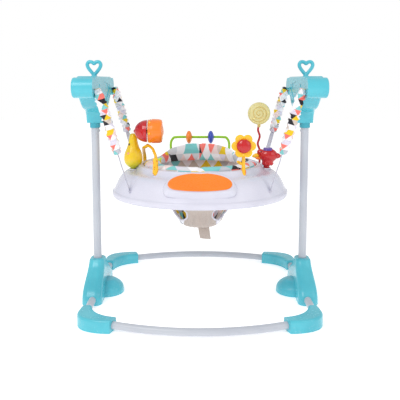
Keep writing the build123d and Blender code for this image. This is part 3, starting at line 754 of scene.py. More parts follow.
def consoleOutline(margin, steps=18):
    # arched top, flatter lower edge and round ends, as points in the plate's own plane
    half = console["half"] + margin
    shoulder, arch, foot = console["shoulder"], console["arch"] + margin, console["foot"] + margin
    top = [(half * math.sin(a), shoulder + (arch - shoulder) * math.cos(a) ** 0.92)
           for a in np.linspace(-math.pi / 2 * 0.94, math.pi / 2 * 0.94, steps)]
    low = [(x, -foot + 0.011 * (x / half) ** 2)
           for x in np.linspace(half - 0.020, 0.020 - half, steps // 2)]
    sideRight = [(half - 0.0005, -0.014), (half - 0.007, -foot + 0.014)]
    sideLeft = [(-x, y) for x, y in reversed(sideRight)]
    return flowing([(x, y, 0) for x, y in [*top, *sideRight, *low, *sideLeft]], 3, True)


def padOn(name, margin, layers, material, slot, stands=()):
    # a crowned pad: each layer is a share of the outline and a height over the plane
    normal = Vector(console["facing"]).normalized()
    sideways = Vector((1, 0, 0))
    upward = normal.cross(sideways)
    outline = consoleOutline(margin)
    rows = []
    for inset, height in layers:
        row = []
        for point in outline:
            share = 1 - inset / max(point.length, 0.01)
            local = point * max(share, 0.02)
            spot = Vector(console["origin"]) + sideways * local.x + upward * local.y + normal * height
            outside = max(1, console["clear"] / math.hypot(spot.x, spot.y))
            row.append(Vector((spot.x * outside, spot.y * outside, spot.z)))
        rows.append(row)
    pad = grid(name, rows, capFirst=True, capLast=True)
    return settle(rounded(pad, 1), "tray", slot, material, stands)


border = console["border"]
padOn("consoleBezel", border,
      [(-0.016, -console["depth"]), (-0.010, -0.020), (-0.005, -0.010), (-0.001, -0.0030),
       (0.0008, -0.0008),
      (0.002, 0.0), (0.0035, 0.0003), (0.030, 0.0003)], None, "tray_white")
padOn("consolePlate", 0, [(0.0, 0.0002), (0.0, 0.0014), (0.0006, 0.0024), (0.0020, console["plate"]),
      (0.010, console["plate"] + 0.0006), (0.030, console["plate"] + console["crown"])], None,
      "panel_orange", ["console_panel"])
print("tray made")

# --- Straps: webbing, springs and gathered sleeves ---
sleeve = {"neck": 0.0086, "mouth": 0.011, "full": 0.0158, "ruffle": 0.0030, "ruffleLength": 0.017,
          "lump": 0.0026, "sway": 0.0022, "steps": 36, "rows": 110, "cloth": 0.0008}
coils = coilTree()


def frameOf(side, end, height):
    up = (strapPoint(side, end, 0.74) - strapPoint(side, end, 0.42)).normalized()
    wide = Vector((0, 1, 0)) if end < 0 else Vector((1, 0, 0))
    wide = (wide - up * wide.dot(up)).normalized()
    return strapPoint(side, end, height), up, wide, up.cross(wide)


def makeSleeve(endName, end, sideName, side):
    low, high = strap["sleeveBottom"][endName], strap["sleeveTop"]
    length = (strapPoint(side, end, high) - strapPoint(side, end, low)).length
    seed = Vector((side * 7.1, end * 3.3, 1.7))
    rows, along = [], []
    for i in range(sleeve["rows"] + 1):
        t = i / sleeve["rows"]
        middle, up, wide, cross = frameOf(side, end, low + (high - low) * t)
        body = min(1, t * length / 0.016) ** 0.5 * min(1, (1 - t) * length / 0.030) ** 0.6
        edge = sleeve["mouth"] * 0.86 if t < 0.5 else sleeve["neck"]
        radius = edge + (sleeve["full"] - edge) * body
        sway = noise.noise_vector(seed + Vector((0, 0, t * 5))) * sleeve["sway"] * body
        row = []
        for j in range(sleeve["steps"]):
            angle = 2 * math.pi * j / sleeve["steps"]
            spot = Vector((math.cos(angle), math.sin(angle), t * length / 0.030)) + seed
            twist = 1.6 * math.sin(angle + 3 * noise.noise(spot * 0.5)) + 2.4 * noise.noise(spot * 0.9)
            gather = math.sin(2 * math.pi * t * length / sleeve["ruffleLength"] + twist)
            fold = sleeve["ruffle"] * gather * (0.6 + noise.noise(spot * 1.7)) * body
            lump = sleeve["lump"] * noise.noise(spot * 1.1 + Vector((9, 0, 0))) * body
            r = radius + fold + lump
            off = wide * (math.cos(angle) * r + sway.x)
            row.append(middle + off + cross * (math.sin(angle) * r + sway.y))
        rows.append(row)
        along.append(t * length * 1.5)
    across = [2 * math.pi * 0.017 * j / sleeve["steps"] for j in range(sleeve["steps"] + 1)]
    piece = grid(f"springSleeve_{endName}_{sideName}", rows, across, along, outward=False)
    faceOut(piece.data)
    piece = baked(rounded(piece, 0, sleeve["cloth"]))
    settle(piece, None, "sleeve_fabric", stands=[f"spring_sleeve_{endName}_{sideName}"])
    strapPoint(side, end, strap["fixedEnd"])
    strapPoint(side, end, low)
    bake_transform(piece)
    return piece


def makeWebbing(endName, end, sideName, side):
    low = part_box(f"tray_strap_{endName}_{sideName}")[0].z + 0.001
    high = strap["sleeveBottom"][endName] + 0.004
    length = (strapPoint(side, end, high) - strapPoint(side, end, low)).length
    half, thick = strap["width"] / 2, strap["thickness"] / 2
    rim = [(-half, 0), (-half * 0.94, thick), (-half * 0.8, thick * 0.8), (0, thick * 0.8),
           (half * 0.8, thick * 0.8),
           (half * 0.94, thick), (half, 0)]
    rim += [(x, -y) for x, y in reversed(rim[1:-1])]
    rows, along = [], []
    count = 40
    for i in range(count + 1):
        t = i / count
        middle, up, wide, cross = frameOf(side, end, low + (high - low) * t)
        narrow = 0.74 + 0.26 * min(1, (1 - t) * length / 0.02)
        wave = 0.0003 * math.sin(t * 21 + side)
        rows.append([middle + wide * x * narrow + cross * (y + wave) for x, y in rim])
        along.append(t * length)
    across = [0]
    for first, second in zip(rim, [*rim[1:], rim[0]]):
        across.append(across[-1] + math.dist(first, second))
    piece = grid(f"webbing_{endName}_{sideName}", rows, across, along, capFirst=True, capLast=True)
    settle(piece, "tray", "strap_webbing", stands=[f"tray_strap_{endName}_{sideName}"])
    lines = []
    for x in (-half * 0.62, half * 0.62):
        for face in (-1, 1):
            lines.append([frameOf(side, end, h)[0] + frameOf(side, end, h)[2] * x + frameOf(side, end,
                    h)[3] * face * thick * 0.9
                          for h in np.linspace(low + 0.03, high - 0.02, 12)])
    sew(f"webbingStitches_{endName}_{sideName}", lines, "tray", 0.004, 0.0028, 0.0006)


def makeSpring(endName, end, sideName, side):
    spring = {"radius": 0.0062, "wire": 0.0007, "pitch": 0.0026}
    low = strap["sleeveBottom"][endName] + 0.010
    high = strap["fixedEnd"] + 0.008
    foot, top = strapPoint(side, end, low), strapPoint(side, end, high)
    length = (top - foot).length
    tilt = (top - foot).to_track_quat("Z", "Y").to_euler()
    base = polyline("coilBase", [[(0, 0, 0), (0, 0, 0.001)]])
    piece = coils.grow(f"bounceSpring_{endName}_{sideName}", base, Turns=length / spring["pitch"],
                       Radius=spring["radius"],
                       Length=length, Wire=spring["wire"], Foot=tuple(foot), Tilt=tuple(tilt))
    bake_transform(piece)
    return piece


for endName, end in ends.items():
    for sideName, side in sides.items():
        makeSleeve(endName, end, sideName, side)
        makeWebbing(endName, end, sideName, side)
        spring = makeSpring(endName, end, sideName, side)
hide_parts("bounce_springs")
print("straps, springs and sleeves made")

# --- Seat: padded rim with a raised back, the quilted pod under it and its tape ---
seat = {
    "rimInner": 0.1535, "rimOuter": 0.2085, "rimTop": 0.4945, "skirt": 0.4640, "backTop": 0.5385,
        "backInner": 0.1475, "backOuter": 0.1665,
    "backReach": 74, "base": 0.4728, "steps": 150, "voxel": 0.005, "pressure": 4.0, "cap": 0.007,
    "seams": (0, 42, 80, 128, 180, -128, -80, -42), "seamDepth": 0.0042, "seamWidth": 0.0045,
}


def backShare(fromFront):
    # how much of the raised back there is at this angle from the front
    fromBack = 180 - abs((fromFront + 180) % 360 - 180)
    return 1 - min(1, fromBack / seat["backReach"]) ** 2.3


def seatSection(share):
    # the pad's closed outline as (radius, height): share 0 is the plain rim and 1 the tallest back
    base, top = seat["base"], seat["rimTop"]
    skirt = seat["skirt"]
    rim = [(0.156, base), (0.1535, base + 0.007), (0.158, top - 0.005), (0.168, top - 0.0005), (0.182, top),
           (0.197, top - 0.007), (0.2070, base + 0.005), (0.2082, skirt), (0.2066, skirt), (0.2064, base)]
    crest = top + (seat["backTop"] - top) * share
    inner, outer = seat["backInner"], seat["backOuter"]
    back = [(0.156, base), (inner + 0.001, base + 0.010), (inner, (top + crest) / 2),
            (inner + 0.005, crest - 0.003),
            (inner + 0.010, crest), (outer, crest - 0.008), (outer + 0.008, top + 0.001), (0.2080, skirt),
            (0.2066, skirt), (0.2064, base)]
    weight = min(1, share * 2.2)
    weight = weight * weight * (3 - 2 * weight)
    return [((1 - weight) * a[0] + weight * b[0], (1 - weight) * a[1] + weight * b[1]) for a,
            b in zip(rim, back)]


def ringMap(piece, radius, seam=math.pi):
    # cloth map of a ring: length round it, and radius and height folded into one length
    mesh = piece.data
    layer = mesh.uv_layers.new(name="cloth")
    for polygon in mesh.polygons:
        turns = []
        for vertex in polygon.vertices:
            point = mesh.vertices[vertex].co
            turns.append((math.atan2(point.x, -point.y) + seam) % (2 * math.pi))
        if max(turns) - min(turns) > math.pi:
            turns = [turn + 2 * math.pi if turn < math.pi else turn for turn in turns]
        for index, vertex, turn in zip(polygon.loop_indices, polygon.vertices, turns):
            point = mesh.vertices[vertex].co
            layer.data[index].uv = (turn * radius, point.z - math.hypot(point.x, point.y))


def puff(piece, name, voxel, pressure, cap, floor):
    # swells a closed shape like stuffed cloth, and keeps each point within the cap of where it began
    melt = piece.modifiers.new("melt", "REMESH")
    melt.mode, melt.voxel_size = "VOXEL", voxel
    piece = baked(piece, name)
    start = np.array([v.co for v in piece.data.vertices])
    cloth = piece.modifiers.new("cloth", "CLOTH")
    cloth.settings.use_pressure = True
    cloth.settings.uniform_pressure_force = pressure
    cloth.settings.effector_weights.gravity = 0
    cloth.settings.quality = 4
    cloth.settings.tension_stiffness = cloth.settings.compression_stiffness = 12
    cloth.point_cache.frame_start, cloth.point_cache.frame_end = 1, 20
    for step in range(1, 21):
        bpy.context.scene.frame_set(step)
    piece = baked(piece, name)
    bpy.context.scene.frame_set(1)
    swollen = np.array([v.co for v in piece.data.vertices])
    moved = swollen - start
    length = np.linalg.norm(moved, axis=1, keepdims=True)
    swollen = start + moved * np.minimum(1, cap / np.maximum(length, 1e-9))
    swollen[:, 2] = np.maximum(swollen[:, 2], np.minimum(start[:, 2], floor))
    piece.data.vertices.foreach_set("co", swollen.astype(np.float32).ravel())
    piece.data.update()
    return piece


def makeSeatPad():
    rows = []
    for i in range(seat["steps"]):
        turn = 2 * math.pi * i / seat["steps"]
        row = []
        for point in flowing([(r, 0, z) for r, z in seatSection(backShare(math.degrees(turn)))], 3, True):
            row.append((point.x * math.sin(turn), -point.x * math.cos(turn), point.z))
        rows.append(row)
    pad = grid("seatPadDraft", [*rows, rows[0]])
    pad = puff(pad, "seatPad", seat["voxel"], seat["pressure"], seat["cap"], seat["base"])
    points = np.array([v.co for v in pad.data.vertices])
    radius = np.hypot(points[:, 0], points[:, 1])
    turn = np.degrees(np.arctan2(points[:, 0], -points[:, 1]))
    crumple = np.array([noise.noise(Vector(p) * 42) + 0.5 * noise.noise(Vector(p) * 95) for p in points])
    height = np.maximum(0, points[:, 2] - seat["base"])
    rise = np.minimum(1, height / 0.01)
    points[:, 2] += crumple * 0.0011 * rise
    middle = 0.5 * (seat["rimInner"] + seat["rimOuter"]) + (np.abs(turn) > 110) * -0.012
    for angle in seat["seams"]:
        away = np.abs((turn - angle + 180) % 360 - 180) * math.pi / 180 * radius
        pull = np.exp(-(away / seat["seamWidth"]) ** 2) * seat["seamDepth"] * rise
        points[:, 2] -= pull * (height > 0.008)
        inward = np.sign(middle - radius) * pull * 0.6
        points[:, 0] += inward * points[:, 0] / radius
        points[:, 1] += inward * points[:, 1] / radius
    radius = np.hypot(points[:, 0], points[:, 1])
    keep = np.clip(radius, 0.1455, np.where(points[:, 2] < 0.469, 0.2092, 0.2110)) / radius
    points[:, 0] *= keep
    points[:, 1] *= keep
    points[:, 2] = np.clip(points[:, 2], np.where(radius > 0.2062, seat["skirt"], seat["base"]), 0.5425)
    pad.data.vertices.foreach_set("co", points.astype(np.float32).ravel())
    pad.data.update()
    ringMap(pad, 0.178)
    pad = baked(rounded(pad, 1))
    settle(pad, "seat", "seat_fabric", stands=["seat_rim_pad", "seat_back_pad"])
    return pad


seatPad = makeSeatPad()
print("seat pad simulated:", len(seatPad.data.vertices), "points")


def overPad(angle, count=14):
    # a line over the pad at this angle from the front, a hair above the cloth
    outline = flowing([(r, 0, z) for r, z in seatSection(backShare(angle))][1:7], 6)
    picked = [outline[int(k * (len(outline) - 1) / (count - 1))] for k in range(count)]
    turn = math.radians(angle)
    found = []
    for point in picked:
        outside = Vector((point.x * math.sin(turn), -point.x * math.cos(turn), point.z))
        hit, spot, normal, index = seatPad.closest_point_on_mesh(outside)
        found.append(spot + normal * 0.0004)
    return found


seamLines = [overPad(angle + offset) for angle in seat["seams"] for offset in (-2.2, 2.2)]
sew("seatPadStitches", seamLines, "seat", 0.0052, 0.0036, 0.0009)

# Piping where the cloth meets the plastic ring
piping = rod("seatPiping",
             [(0.2078 * math.sin(a), -0.2078 * math.cos(a), 0.4648)
              for a in np.linspace(0, 2 * math.pi, 64)[:-1]],
             0.0014, True, 10, 3)
settle(piping, "seat", "seat_fabric", extras["lining"])

pod = {
    "outline": [(0.1885, 0.4715), (0.1875, 0.458), (0.1840, 0.440), (0.158, 0.380), (0.124, 0.340),
                (0.102, 0.316),
                (0.080, 0.274), (0.068, 0.2610), (0.048, 0.2560), (0.020, 0.2515)],
    "steps": 144, "wall": 0.0032, "legRadius": 0.042, "legOrigin": (0.040, -0.014, 0.340),
       "legWay": (0.74, -1, -0.3),
    "panelHalf": 0.058, "quilt": 0.0016, "gather": 0.0030,
}


def legHole(side):
    way = Vector((side * pod["legWay"][0], pod["legWay"][1], pod["legWay"][2])).normalized()
    origin = Vector((side * pod["legOrigin"][0], pod["legOrigin"][1], pod["legOrigin"][2]))
    return origin, way


def makePod():
    line = flowing([(r, 0, z) for r, z in pod["outline"]], 6)
    along, rows = [0], []
    for before, after in zip(line, line[1:]):
        along.append(along[-1] + (after - before).length)
    for point, run in zip(line, along):
        row = []
        deep = min(1, max(0, (0.446 - point.z) / 0.03))
        for j in range(pod["steps"]):
            turn = 2 * math.pi * j / pod["steps"]
            spot = Vector((math.sin(turn), math.cos(turn), point.z * 9))
            fold = math.sin(turn * 24 + 2.2 * noise.noise(spot * 2)) * pod["gather"] * max(0,
                    1 - abs(point.z - 0.3) / 0.09)
            quilt = -abs(math.sin(turn * 6)) ** 0.35 * -pod["quilt"] - pod["quilt"]
            crease = noise.noise(spot * 3) * 0.0018
            r = point.x + (min(0, fold) * 1.4 + quilt * 2 + min(0, crease)) * deep * min(1, point.x / 0.05)
            row.append((r * math.sin(turn), -r * math.cos(turn),
                        point.z + 0.6 * fold * deep * (point.z < 0.26)))
        rows.append(row)
    across = [0.15 * 2 * math.pi * j / pod["steps"] for j in range(pod["steps"] + 1)]
    shell = grid("seatPod", rows, across, along, capLast=True)
    mesh = shell.data
    work = bmesh.new()
    work.from_mesh(mesh)
    rims = {}
    for side in sides.values():
        origin, way = legHole(side)
        inside = []
        for face in work.faces:
            off = face.calc_center_median() - origin
            if off.dot(way) > 0 and (off - way * off.dot(way)).length < pod["legRadius"]:
                inside.append(face)
        bmesh.ops.delete(work, geom=inside, context="FACES")
        rim = []
        for edge in work.edges:
            if edge.is_boundary:
                for vertex in edge.verts:
                    off = vertex.co - origin
                    if vertex.co.z < 0.46 and off.dot(way) > 0 and off.dot(Vector((side, 0,
                            0))) > -0.06 and vertex not in rim:
                        if (off - way * off.dot(way)).length < pod["legRadius"] + 0.02:
                            rim.append(vertex)
        points = []
        for vertex in rim:
            off = vertex.co - origin
            radial = off - way * off.dot(way)
            vertex.co = origin + way * off.dot(way) + radial.normalized() * pod["legRadius"]
            points.append(vertex.co.copy())
        first = way.cross(Vector((0, 0, 1))).normalized()
        second = way.cross(first)
        points.sort(key=lambda p: math.atan2((p - origin).dot(second), (p - origin).dot(first)))
        rims[side] = points
    if work.faces:
        work.faces.ensure_lookup_table()
        top = max(work.faces, key=lambda face: face.calc_center_median().z)
        middle = top.calc_center_median()
        if top.normal.dot(Vector((middle.x, middle.y, 0))) < 0:
            bmesh.ops.reverse_faces(work, faces=work.faces)
    work.to_mesh(mesh)
    work.free()
    mesh.materials.append(finishes["seat_fabric"])
    mesh.materials.append(finishes["beige_webbing"])
    for polygon in mesh.polygons:
        middle = polygon.center
        polygon.material_index = 1 if abs(middle.x) < pod["panelHalf"] and middle.y < 0 else 0
    shell = baked(rounded(shell, 1, pod["wall"]))
    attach(shell, "seat")
    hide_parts("seat_pod")
    for sideName, side in sides.items():
        edge = [p for k, p in enumerate(rims[side]) if k % 2 == 0]
        welt = rod(f"legWelt_{sideName}", edge, 0.0030, True, 12, 2)
        settle(welt, "seat", "seat_fabric", extras["lining"])
    return line


podLine = makePod()


def podSpot(turnDegrees, height, proud):
    turn = math.radians(turnDegrees)
    r = np.interp(height, [p.z for p in reversed(podLine)], [p.x for p in reversed(podLine)]) + proud
    return (r * math.sin(turn), -r * math.cos(turn), height)


# Stitched bands round the top of the pod
bands = [[podSpot(turn, height, 0.0006) for turn in range(0, 360, 4)] for height in (0.4445, 0.4405)]
sew("podBandStitches", bands, "seat", 0.006, 0.0042, 0.0009, True)

tape = {"width": 0.042, "thick": 0.0022, "top": (0.012, 0, 0.2535), "foot": (0.020, 0, 0.1995)}


def makeTape():
    # the folded tape that hangs under the pod
    top, foot = Vector(tape["top"]), Vector(tape["foot"])
    rows, along = [], []
    steps, lines = 28, 12
    for i in range(steps + 1):
        t = i / steps
        down = top.lerp(foot, min(1, t * 1.02))
        bow = 0.0035 * math.sin(math.pi * t)
        curl = 0.002 * t
        rows.append([down + Vector(((k / lines - 0.5) * tape["width"] * (1 - 0.05 * t),
                                    -bow + curl * math.cos(6 * k / lines) * 0.6,
                     0.004 * t * (1 - k / lines))) for k in range(lines + 1)])
        along.append(t * (top - foot).length)
    across = [k / lines * tape["width"] for k in range(lines + 1)]
    piece = grid("crotchTape", rows, across, along, wrap=False, outward=False)
    settle(rounded(piece, 1, tape["thick"]), "seat", "beige_webbing", stands=["crotch_strap"])
    hems = []
    for share in (0.12, 0.88):
        hems.append([Vector(row[0]).lerp(Vector(row[-1]), share) + Vector((0, -tape["thick"] * 0.35, 0))
                     for row in rows[2:-1]])
    for row in (rows[-4], rows[-2]):
        hems.append([Vector(p) + Vector((0, -tape["thick"] * 0.35, 0)) for p in row[1:-1]])
    sew("crotchTapeStitches", hems, "seat", 0.0042, 0.003, 0.0008)


makeTape()
print("seat made")

# --- Heads: heart loops and screws ---
heart = {"bar": 0.0064, "line": [(0, 0.8062), (0.0125, 0.8175), (0.0215, 0.8300), (0.0240, 0.8410),
                                 (0.0180, 0.8495),
                                 (0.0075, 0.8490), (0, 0.8440)]}
for sideName, side in sides.items():
    low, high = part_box(f"heart_loop_{sideName}")
    centre = (low.x + high.x) / 2
    half = [(centre + x, 0, z) for x, z in heart["line"]]
    other = [(centre - x, 0, z) for x, z in reversed(heart["line"][1:-1])]
    loop = rod(f"heartBand_{sideName}", [*half, *other], heart["bar"], True, 18, 8, 0.95, (0, 1, 0))
    stem = turned(f"heartStem_{sideName}",
                  [(0.0125, 0.7972), (0.0105, 0.8000), (0.0080, 0.8035), (0.0068, 0.8080), (0, 0.8100)],
                  (centre, 0, 0), steps=40)
    settle(joined(f"heartLoop_{sideName}", [loop, stem]), "frame", "aqua_plastic",
           stands=[f"heart_loop_{sideName}"])


def screwTree():
    # a cross-recess screw head at each point of the base, facing along X
    growth = Growth("screws", {"Radius": "Float", "Height": "Float", "Way": "Rotation"})
    disc = growth.node("GeometryNodeMeshCylinder", {}, {
        "Vertices": 28, "Side Segments": 2, "Fill Segments": 3, "Radius": growth.given("Radius"),
        "Depth": growth.given("Height")})
    bars = []
    for size in ((1.25, 0.22, 0.8), (0.22, 1.25, 0.8)):
        edge = [growth.given("Radius") * size[0], growth.given("Radius") * size[1],
                growth.given("Height") * size[2]]
        box = growth.node("ShaderNodeCombineXYZ", {}, {0: edge[0], 1: edge[1], 2: edge[2]})
        cube = growth.node("GeometryNodeMeshCube", {}, {"Size": box})
        lift = growth.node("ShaderNodeCombineXYZ", {}, {2: growth.given("Height") * 0.5})
        bars.append(growth.node("GeometryNodeTransform", {}, {0: cube, "Translation": lift}))
    recess = growth.tree.nodes.new("GeometryNodeMeshBoolean")
    recess.operation = "DIFFERENCE"
    growth.tree.links.new(disc.socket, recess.inputs["Mesh 1"])
    for bar in bars:
        growth.tree.links.new(bar.socket, recess.inputs["Mesh 2"])
    facing = growth.node("GeometryNodeTransform", {},
                         {0: Value(growth.tree, recess.outputs[0]), "Rotation": growth.given("Way")})
    points = growth.node("GeometryNodeMeshToPoints", {}, {0: growth.given("Geometry")})
    laid = growth.node("GeometryNodeInstanceOnPoints", {}, {0: points, "Instance": facing})
    growth.close(laid, finishes["zinc_steel"])
    return growth


screws = screwTree()
headScrew = {"radius": 0.0039, "height": 0.0016, "y": 0.080, "z": 0.768, "sink": 0.0008}
for sideName, side in sides.items():
    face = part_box(f"head_{sideName}_inner_shell")
    faceX = face[0].x if side > 0 else face[1].x
    base = polyline("screwBase", [[(faceX + side * headScrew["sink"], -headScrew["y"], headScrew["z"]),
                                   (faceX + side * headScrew["sink"], headScrew["y"], headScrew["z"])]])
    way = Vector((-side, 0, 0)).to_track_quat("Z", "Y").to_euler()
    piece = screws.grow(f"headScrews_{sideName}", base, Radius=headScrew["radius"],
                        Height=headScrew["height"], Way=tuple(way))
    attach(piece, "frame")
    piece.data.polygons.foreach_set("use_smooth", [False] * len(piece.data.polygons))

# --- Toys ---
def socketRing(name, x, y, radius):
    # a raised collar round each toy's foot
    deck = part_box("toy_sockets")[0].z
    profile = [(radius + 0.0004, deck), (radius + 0.0004, deck + 0.0042), (radius + 0.0012, deck + 0.005),
               (radius + 0.0034, deck + 0.005), (radius + 0.0044, deck + 0.0036), (radius + 0.0048, deck),
               (radius + 0.0004, deck)]
    return turned(name, profile, (x, y, 0), steps=40, smooth=3)


barLow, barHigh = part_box("bead_bar")
pearLow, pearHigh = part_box("pear_toy")
pearX, pearY = (pearLow.x + pearHigh.x) / 2, (pearLow.y + pearHigh.y) / 2
rollerAt = Vector(joints["roller_spin"]["pos_m"])
flowerAt = Vector(joints["flower_spin"]["pos_m"])
lollyAt = sum(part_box("lollipop_disc"), Vector()) / 2
lollyFoot = Vector(joints["lollipop_sway"]["pos_m"])
birdAt = Vector(joints["bird_swivel"]["pos_m"])
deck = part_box("toy_sockets")[0].z
legs = {
    "bar": 0.005, "rollerFeet": [(-0.149, -0.168), (-0.208, 0.068)], "flowerFoot": (0.146, -0.166),
}
barY = (barLow.y + barHigh.y) / 2
feet = [(barLow.x + legs["bar"], barY, 0.005), (barHigh.x - legs["bar"], barY, 0.005),
        (*legs["rollerFeet"][0], 0.007),
        (*legs["rollerFeet"][1], 0.0045), (*legs["flowerFoot"], 0.007), (lollyFoot.x, lollyFoot.y, 0.0052),
        (pearX, pearY, 0.011), (birdAt.x, birdAt.y, 0.012)]
collars = joined("toySockets", [socketRing(f"collar{k}", *foot) for k, foot in enumerate(feet)])
settle(collars, "tray", "tray_white", stands=["toy_sockets"])

# Bar with its two beads
left, right, top = barLow.x + legs["bar"], barHigh.x - legs["bar"], barHigh.z - legs["bar"]
bend = 0.024
barLine = [(left, barY, deck + 0.0003), (left, barY, deck + 0.04), (left, barY, top - bend),
           (left + bend * 0.3, barY, top - bend * 0.3),
           (left + bend, barY, top), (0, barY, top), (right - bend, barY, top),
           (right - bend * 0.3, barY, top - bend * 0.3),
           (right, barY, top - bend), (right, barY, deck + 0.04), (right, barY, deck + 0.0003)]
settle(rod("beadBar", barLine, legs["bar"], up=(0, 1, 0)), "tray", "bar_green", stands=["bead_bar"])
bead = {"half": 0.012, "radius": 0.026, "bore": 0.0053}
for colour in ("orange", "blue"):
    low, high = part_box(f"bead_{colour}")
    centre = (low + high) / 2
    profile = [(bead["bore"], -bead["half"] + 0.0012), (0.0075, -bead["half"] + 0.0002),
               (0.0125, -bead["half"] + 0.0010),
               (0.0200, -0.0078), (0.0245, -0.0040), (bead["radius"], 0.0), (0.0245, 0.0040),
               (0.0200, 0.0078),
               (0.0125, bead["half"] - 0.0010), (0.0075, bead["half"] - 0.0002),
               (bead["bore"], bead["half"] - 0.0012),
               (bead["bore"], -bead["half"] + 0.0012)]
    piece = turned(f"bead_{colour}_toy", profile, centre, "X", 64, 4)
    settle(piece, f"{colour}_bead", f"toy_{colour}", stands=[f"bead_{colour}"])


def feature(name, centre, radii, body, slot, material, turn=0.0, around="Y"):
    # a small rounded detail such as an eye, cheek or spot
    mesh = ball(centre, radii, turn, around)
    mesh.name = name
    return settle(present(name, mesh), body, slot, material)


# Pear
height = pearHigh.z - pearLow.z
pearProfile = [(0, 0), (0.0088, 0.0002), (0.0092, 0.0046), (0.0180, 0.0100), (0.0290, 0.0210),
               (0.0335, 0.0390), (0.0305, 0.0600),
               (0.0225, 0.0800), (0.0172, 0.0980), (0.0150, 0.1120), (0.0118, 0.1230), (0.0065, 0.1292),
               (0, height)]
settle(turned("pearBody", pearProfile, (pearX, pearY, pearLow.z), dent=lambda angle,
              z: 1 + 0.012 * math.cos(2 * angle + z * 30)),
       "pear", "toy_yellow", extras["pearSkin"], ["pear_toy"])
feature("pearEye", (pearX - 0.0125, pearY - 0.0150, 0.5555), (0.0032, 0.0022, 0.0042), "pear", "toy_yellow",
        extras["eyeBlack"])
feature("pearCheek", (pearX - 0.0130, pearY - 0.0258, 0.5240), (0.0056, 0.0022, 0.0050), "pear",
        "toy_yellow", extras["cheekPink"])
feature("pearLeaf", (pearX - 0.006, pearY - 0.004, 0.5900), (0.0075, 0.0030, 0.0018), "pear", "toy_yellow",
        extras["limePlastic"], 28)

# Roller: dome, barrel and yoke
rx, ry, rz = rollerAt
domeSize = {"radius": 0.0395, "length": 0.0445, "gap": 0.0020}
domeProfile = [(0.0055, domeSize["gap"]), (domeSize["radius"] - 0.002, domeSize["gap"])]
domeProfile += [(domeSize["radius"] * math.cos(a),
                 domeSize["gap"] + 0.0012 + domeSize["length"] * math.sin(a))
                for a in np.linspace(0.02, 1.42, 9)]
domeProfile += [(0.0055, domeSize["gap"] + 0.0446), (0.0055, domeSize["gap"])]
dome = turned("rollerDome", [(r, -x) for r, x in domeProfile], rollerAt, "X", 80, 4)
settle(dome, "roller", "toy_red", stands=["roller_dome"])
ribs = {"count": 10, "deep": 0.012}
barrelProfile = [(0.0055, 0.0020), (0.0385, 0.0020), (0.0402, 0.0034), (0.0404, 0.0080), (0.0412, 0.0100),
                 (0.0412, 0.0118),
                 (0.0416, 0.0136), (0.0428, 0.0156), (0.0430, 0.0270), (0.0424, 0.0390), (0.0404, 0.0470),
                 (0.0360, 0.0512),
                 (0.0240, 0.0520), (0.0055, 0.0518), (0.0055, 0.0020)]
barrel = turned("rollerBarrel", barrelProfile, rollerAt, "X", 120, 4,
                dent=lambda angle, x: 1 - ribs["deep"] * max(0,
        math.cos(ribs["count"] * angle)) ** 6 * (0.004 < x < 0.0495))
settle(barrel, "roller", "toy_orange", stands=["roller_barrel"])
windows = [ball((rx + 0.0085, ry + 0.0398 * math.sin(a), rz + 0.0398 * math.cos(a)),
                (0.0042, 0.0048, 0.0048))
           for a in np.linspace(0, 2 * math.pi, 7)[:-1] + 0.4]
settle(fused("rollerWindows", windows, 0.0008, 2), "roller", "toy_yellow")
frontLeg = [(rx, ry, rz - 0.050), (rx + 0.009, ry - 0.012, 0.551), (rx + 0.020, -0.086, 0.546),
            (-0.156, -0.126, 0.538),
            (-0.150, -0.150, 0.530), (-0.149, -0.164, 0.520), (-0.149, -0.168, 0.505)]
rearLeg = [(rx, ry, rz - 0.050), (rx - 0.008, ry + 0.010, 0.549), (-0.203, -0.014, 0.541),
           (-0.2075, 0.030, 0.523),
           (-0.208, 0.058, 0.505), (-0.208, 0.068, 0.486), (-0.208, 0.068, deck + 0.0003)]
postLine = [(*legs["rollerFeet"][0], z)
            for z in (deck + 0.0003, 0.468, 0.473, 0.486, 0.500, 0.514, 0.522, 0.5262)]
post = rod("frontPost", postLine, [0.0060, 0.0060, 0.0064, 0.0062, 0.0056, 0.0054, 0.0052, 0.0030],
           facets=28, flat=1.0, up=(0, 1, 0))
for vertex in post.data.vertices:
    spread = 1 + 0.62 * min(1, max(0, (vertex.co.z - 0.468) / 0.006))
    vertex.co.x = legs["rollerFeet"][0][0] + (vertex.co.x - legs["rollerFeet"][0][0]) * spread
axle = rod("axle", [(rx - 0.030, ry, rz), (rx, ry, rz), (rx + 0.030, ry, rz)], 0.0048, up=(0, 0, 1))
plate = turned("plate", [(0, -0.0010), (0.0108, -0.0010), (0.0112, -0.0004), (0.0112, 0.0004),
                         (0.0108, 0.0010), (0, 0.0010)], rollerAt, "X", 32, 2)
stalk = rod("stalk", [(rx, ry, rz - 0.005), (rx, ry, rz - 0.030), (rx, ry, rz - 0.052)], 0.0065, flat=1.0,
            facets=14)
for point in stalk.data.vertices:
    point.co.x = rx + (point.co.x - rx) * 0.14
yoke = joined("rollerYoke",
              [rod("a", frontLeg, [0.0052] * 5 + [0.0054, 0.0050], up=(1, 0, 0)),
               rod("b", rearLeg, 0.0052, up=(1, 0, 0), flat=1.35),
                             post, axle, plate, stalk])
settle(yoke, "tray", "toy_yellow", stands=["roller_arch"])
spots = {"seed": 5, "heights": (0.474, 0.481, 0.488, 0.495, 0.502, 0.509, 0.516)}
for k, z in enumerate(spots["heights"]):
    angle = -math.pi / 2 + math.sin(k * 2.4 + spots["seed"]) * 0.85
    feature(f"postSpot_{k}", (legs["rollerFeet"][0][0] + 0.0092 * math.cos(angle),
                              legs["rollerFeet"][0][1] + 0.0056 * math.sin(angle), z),
            (0.0019, 0.0011, 0.0023), "tray", "toy_yellow", extras["spotBrown"])
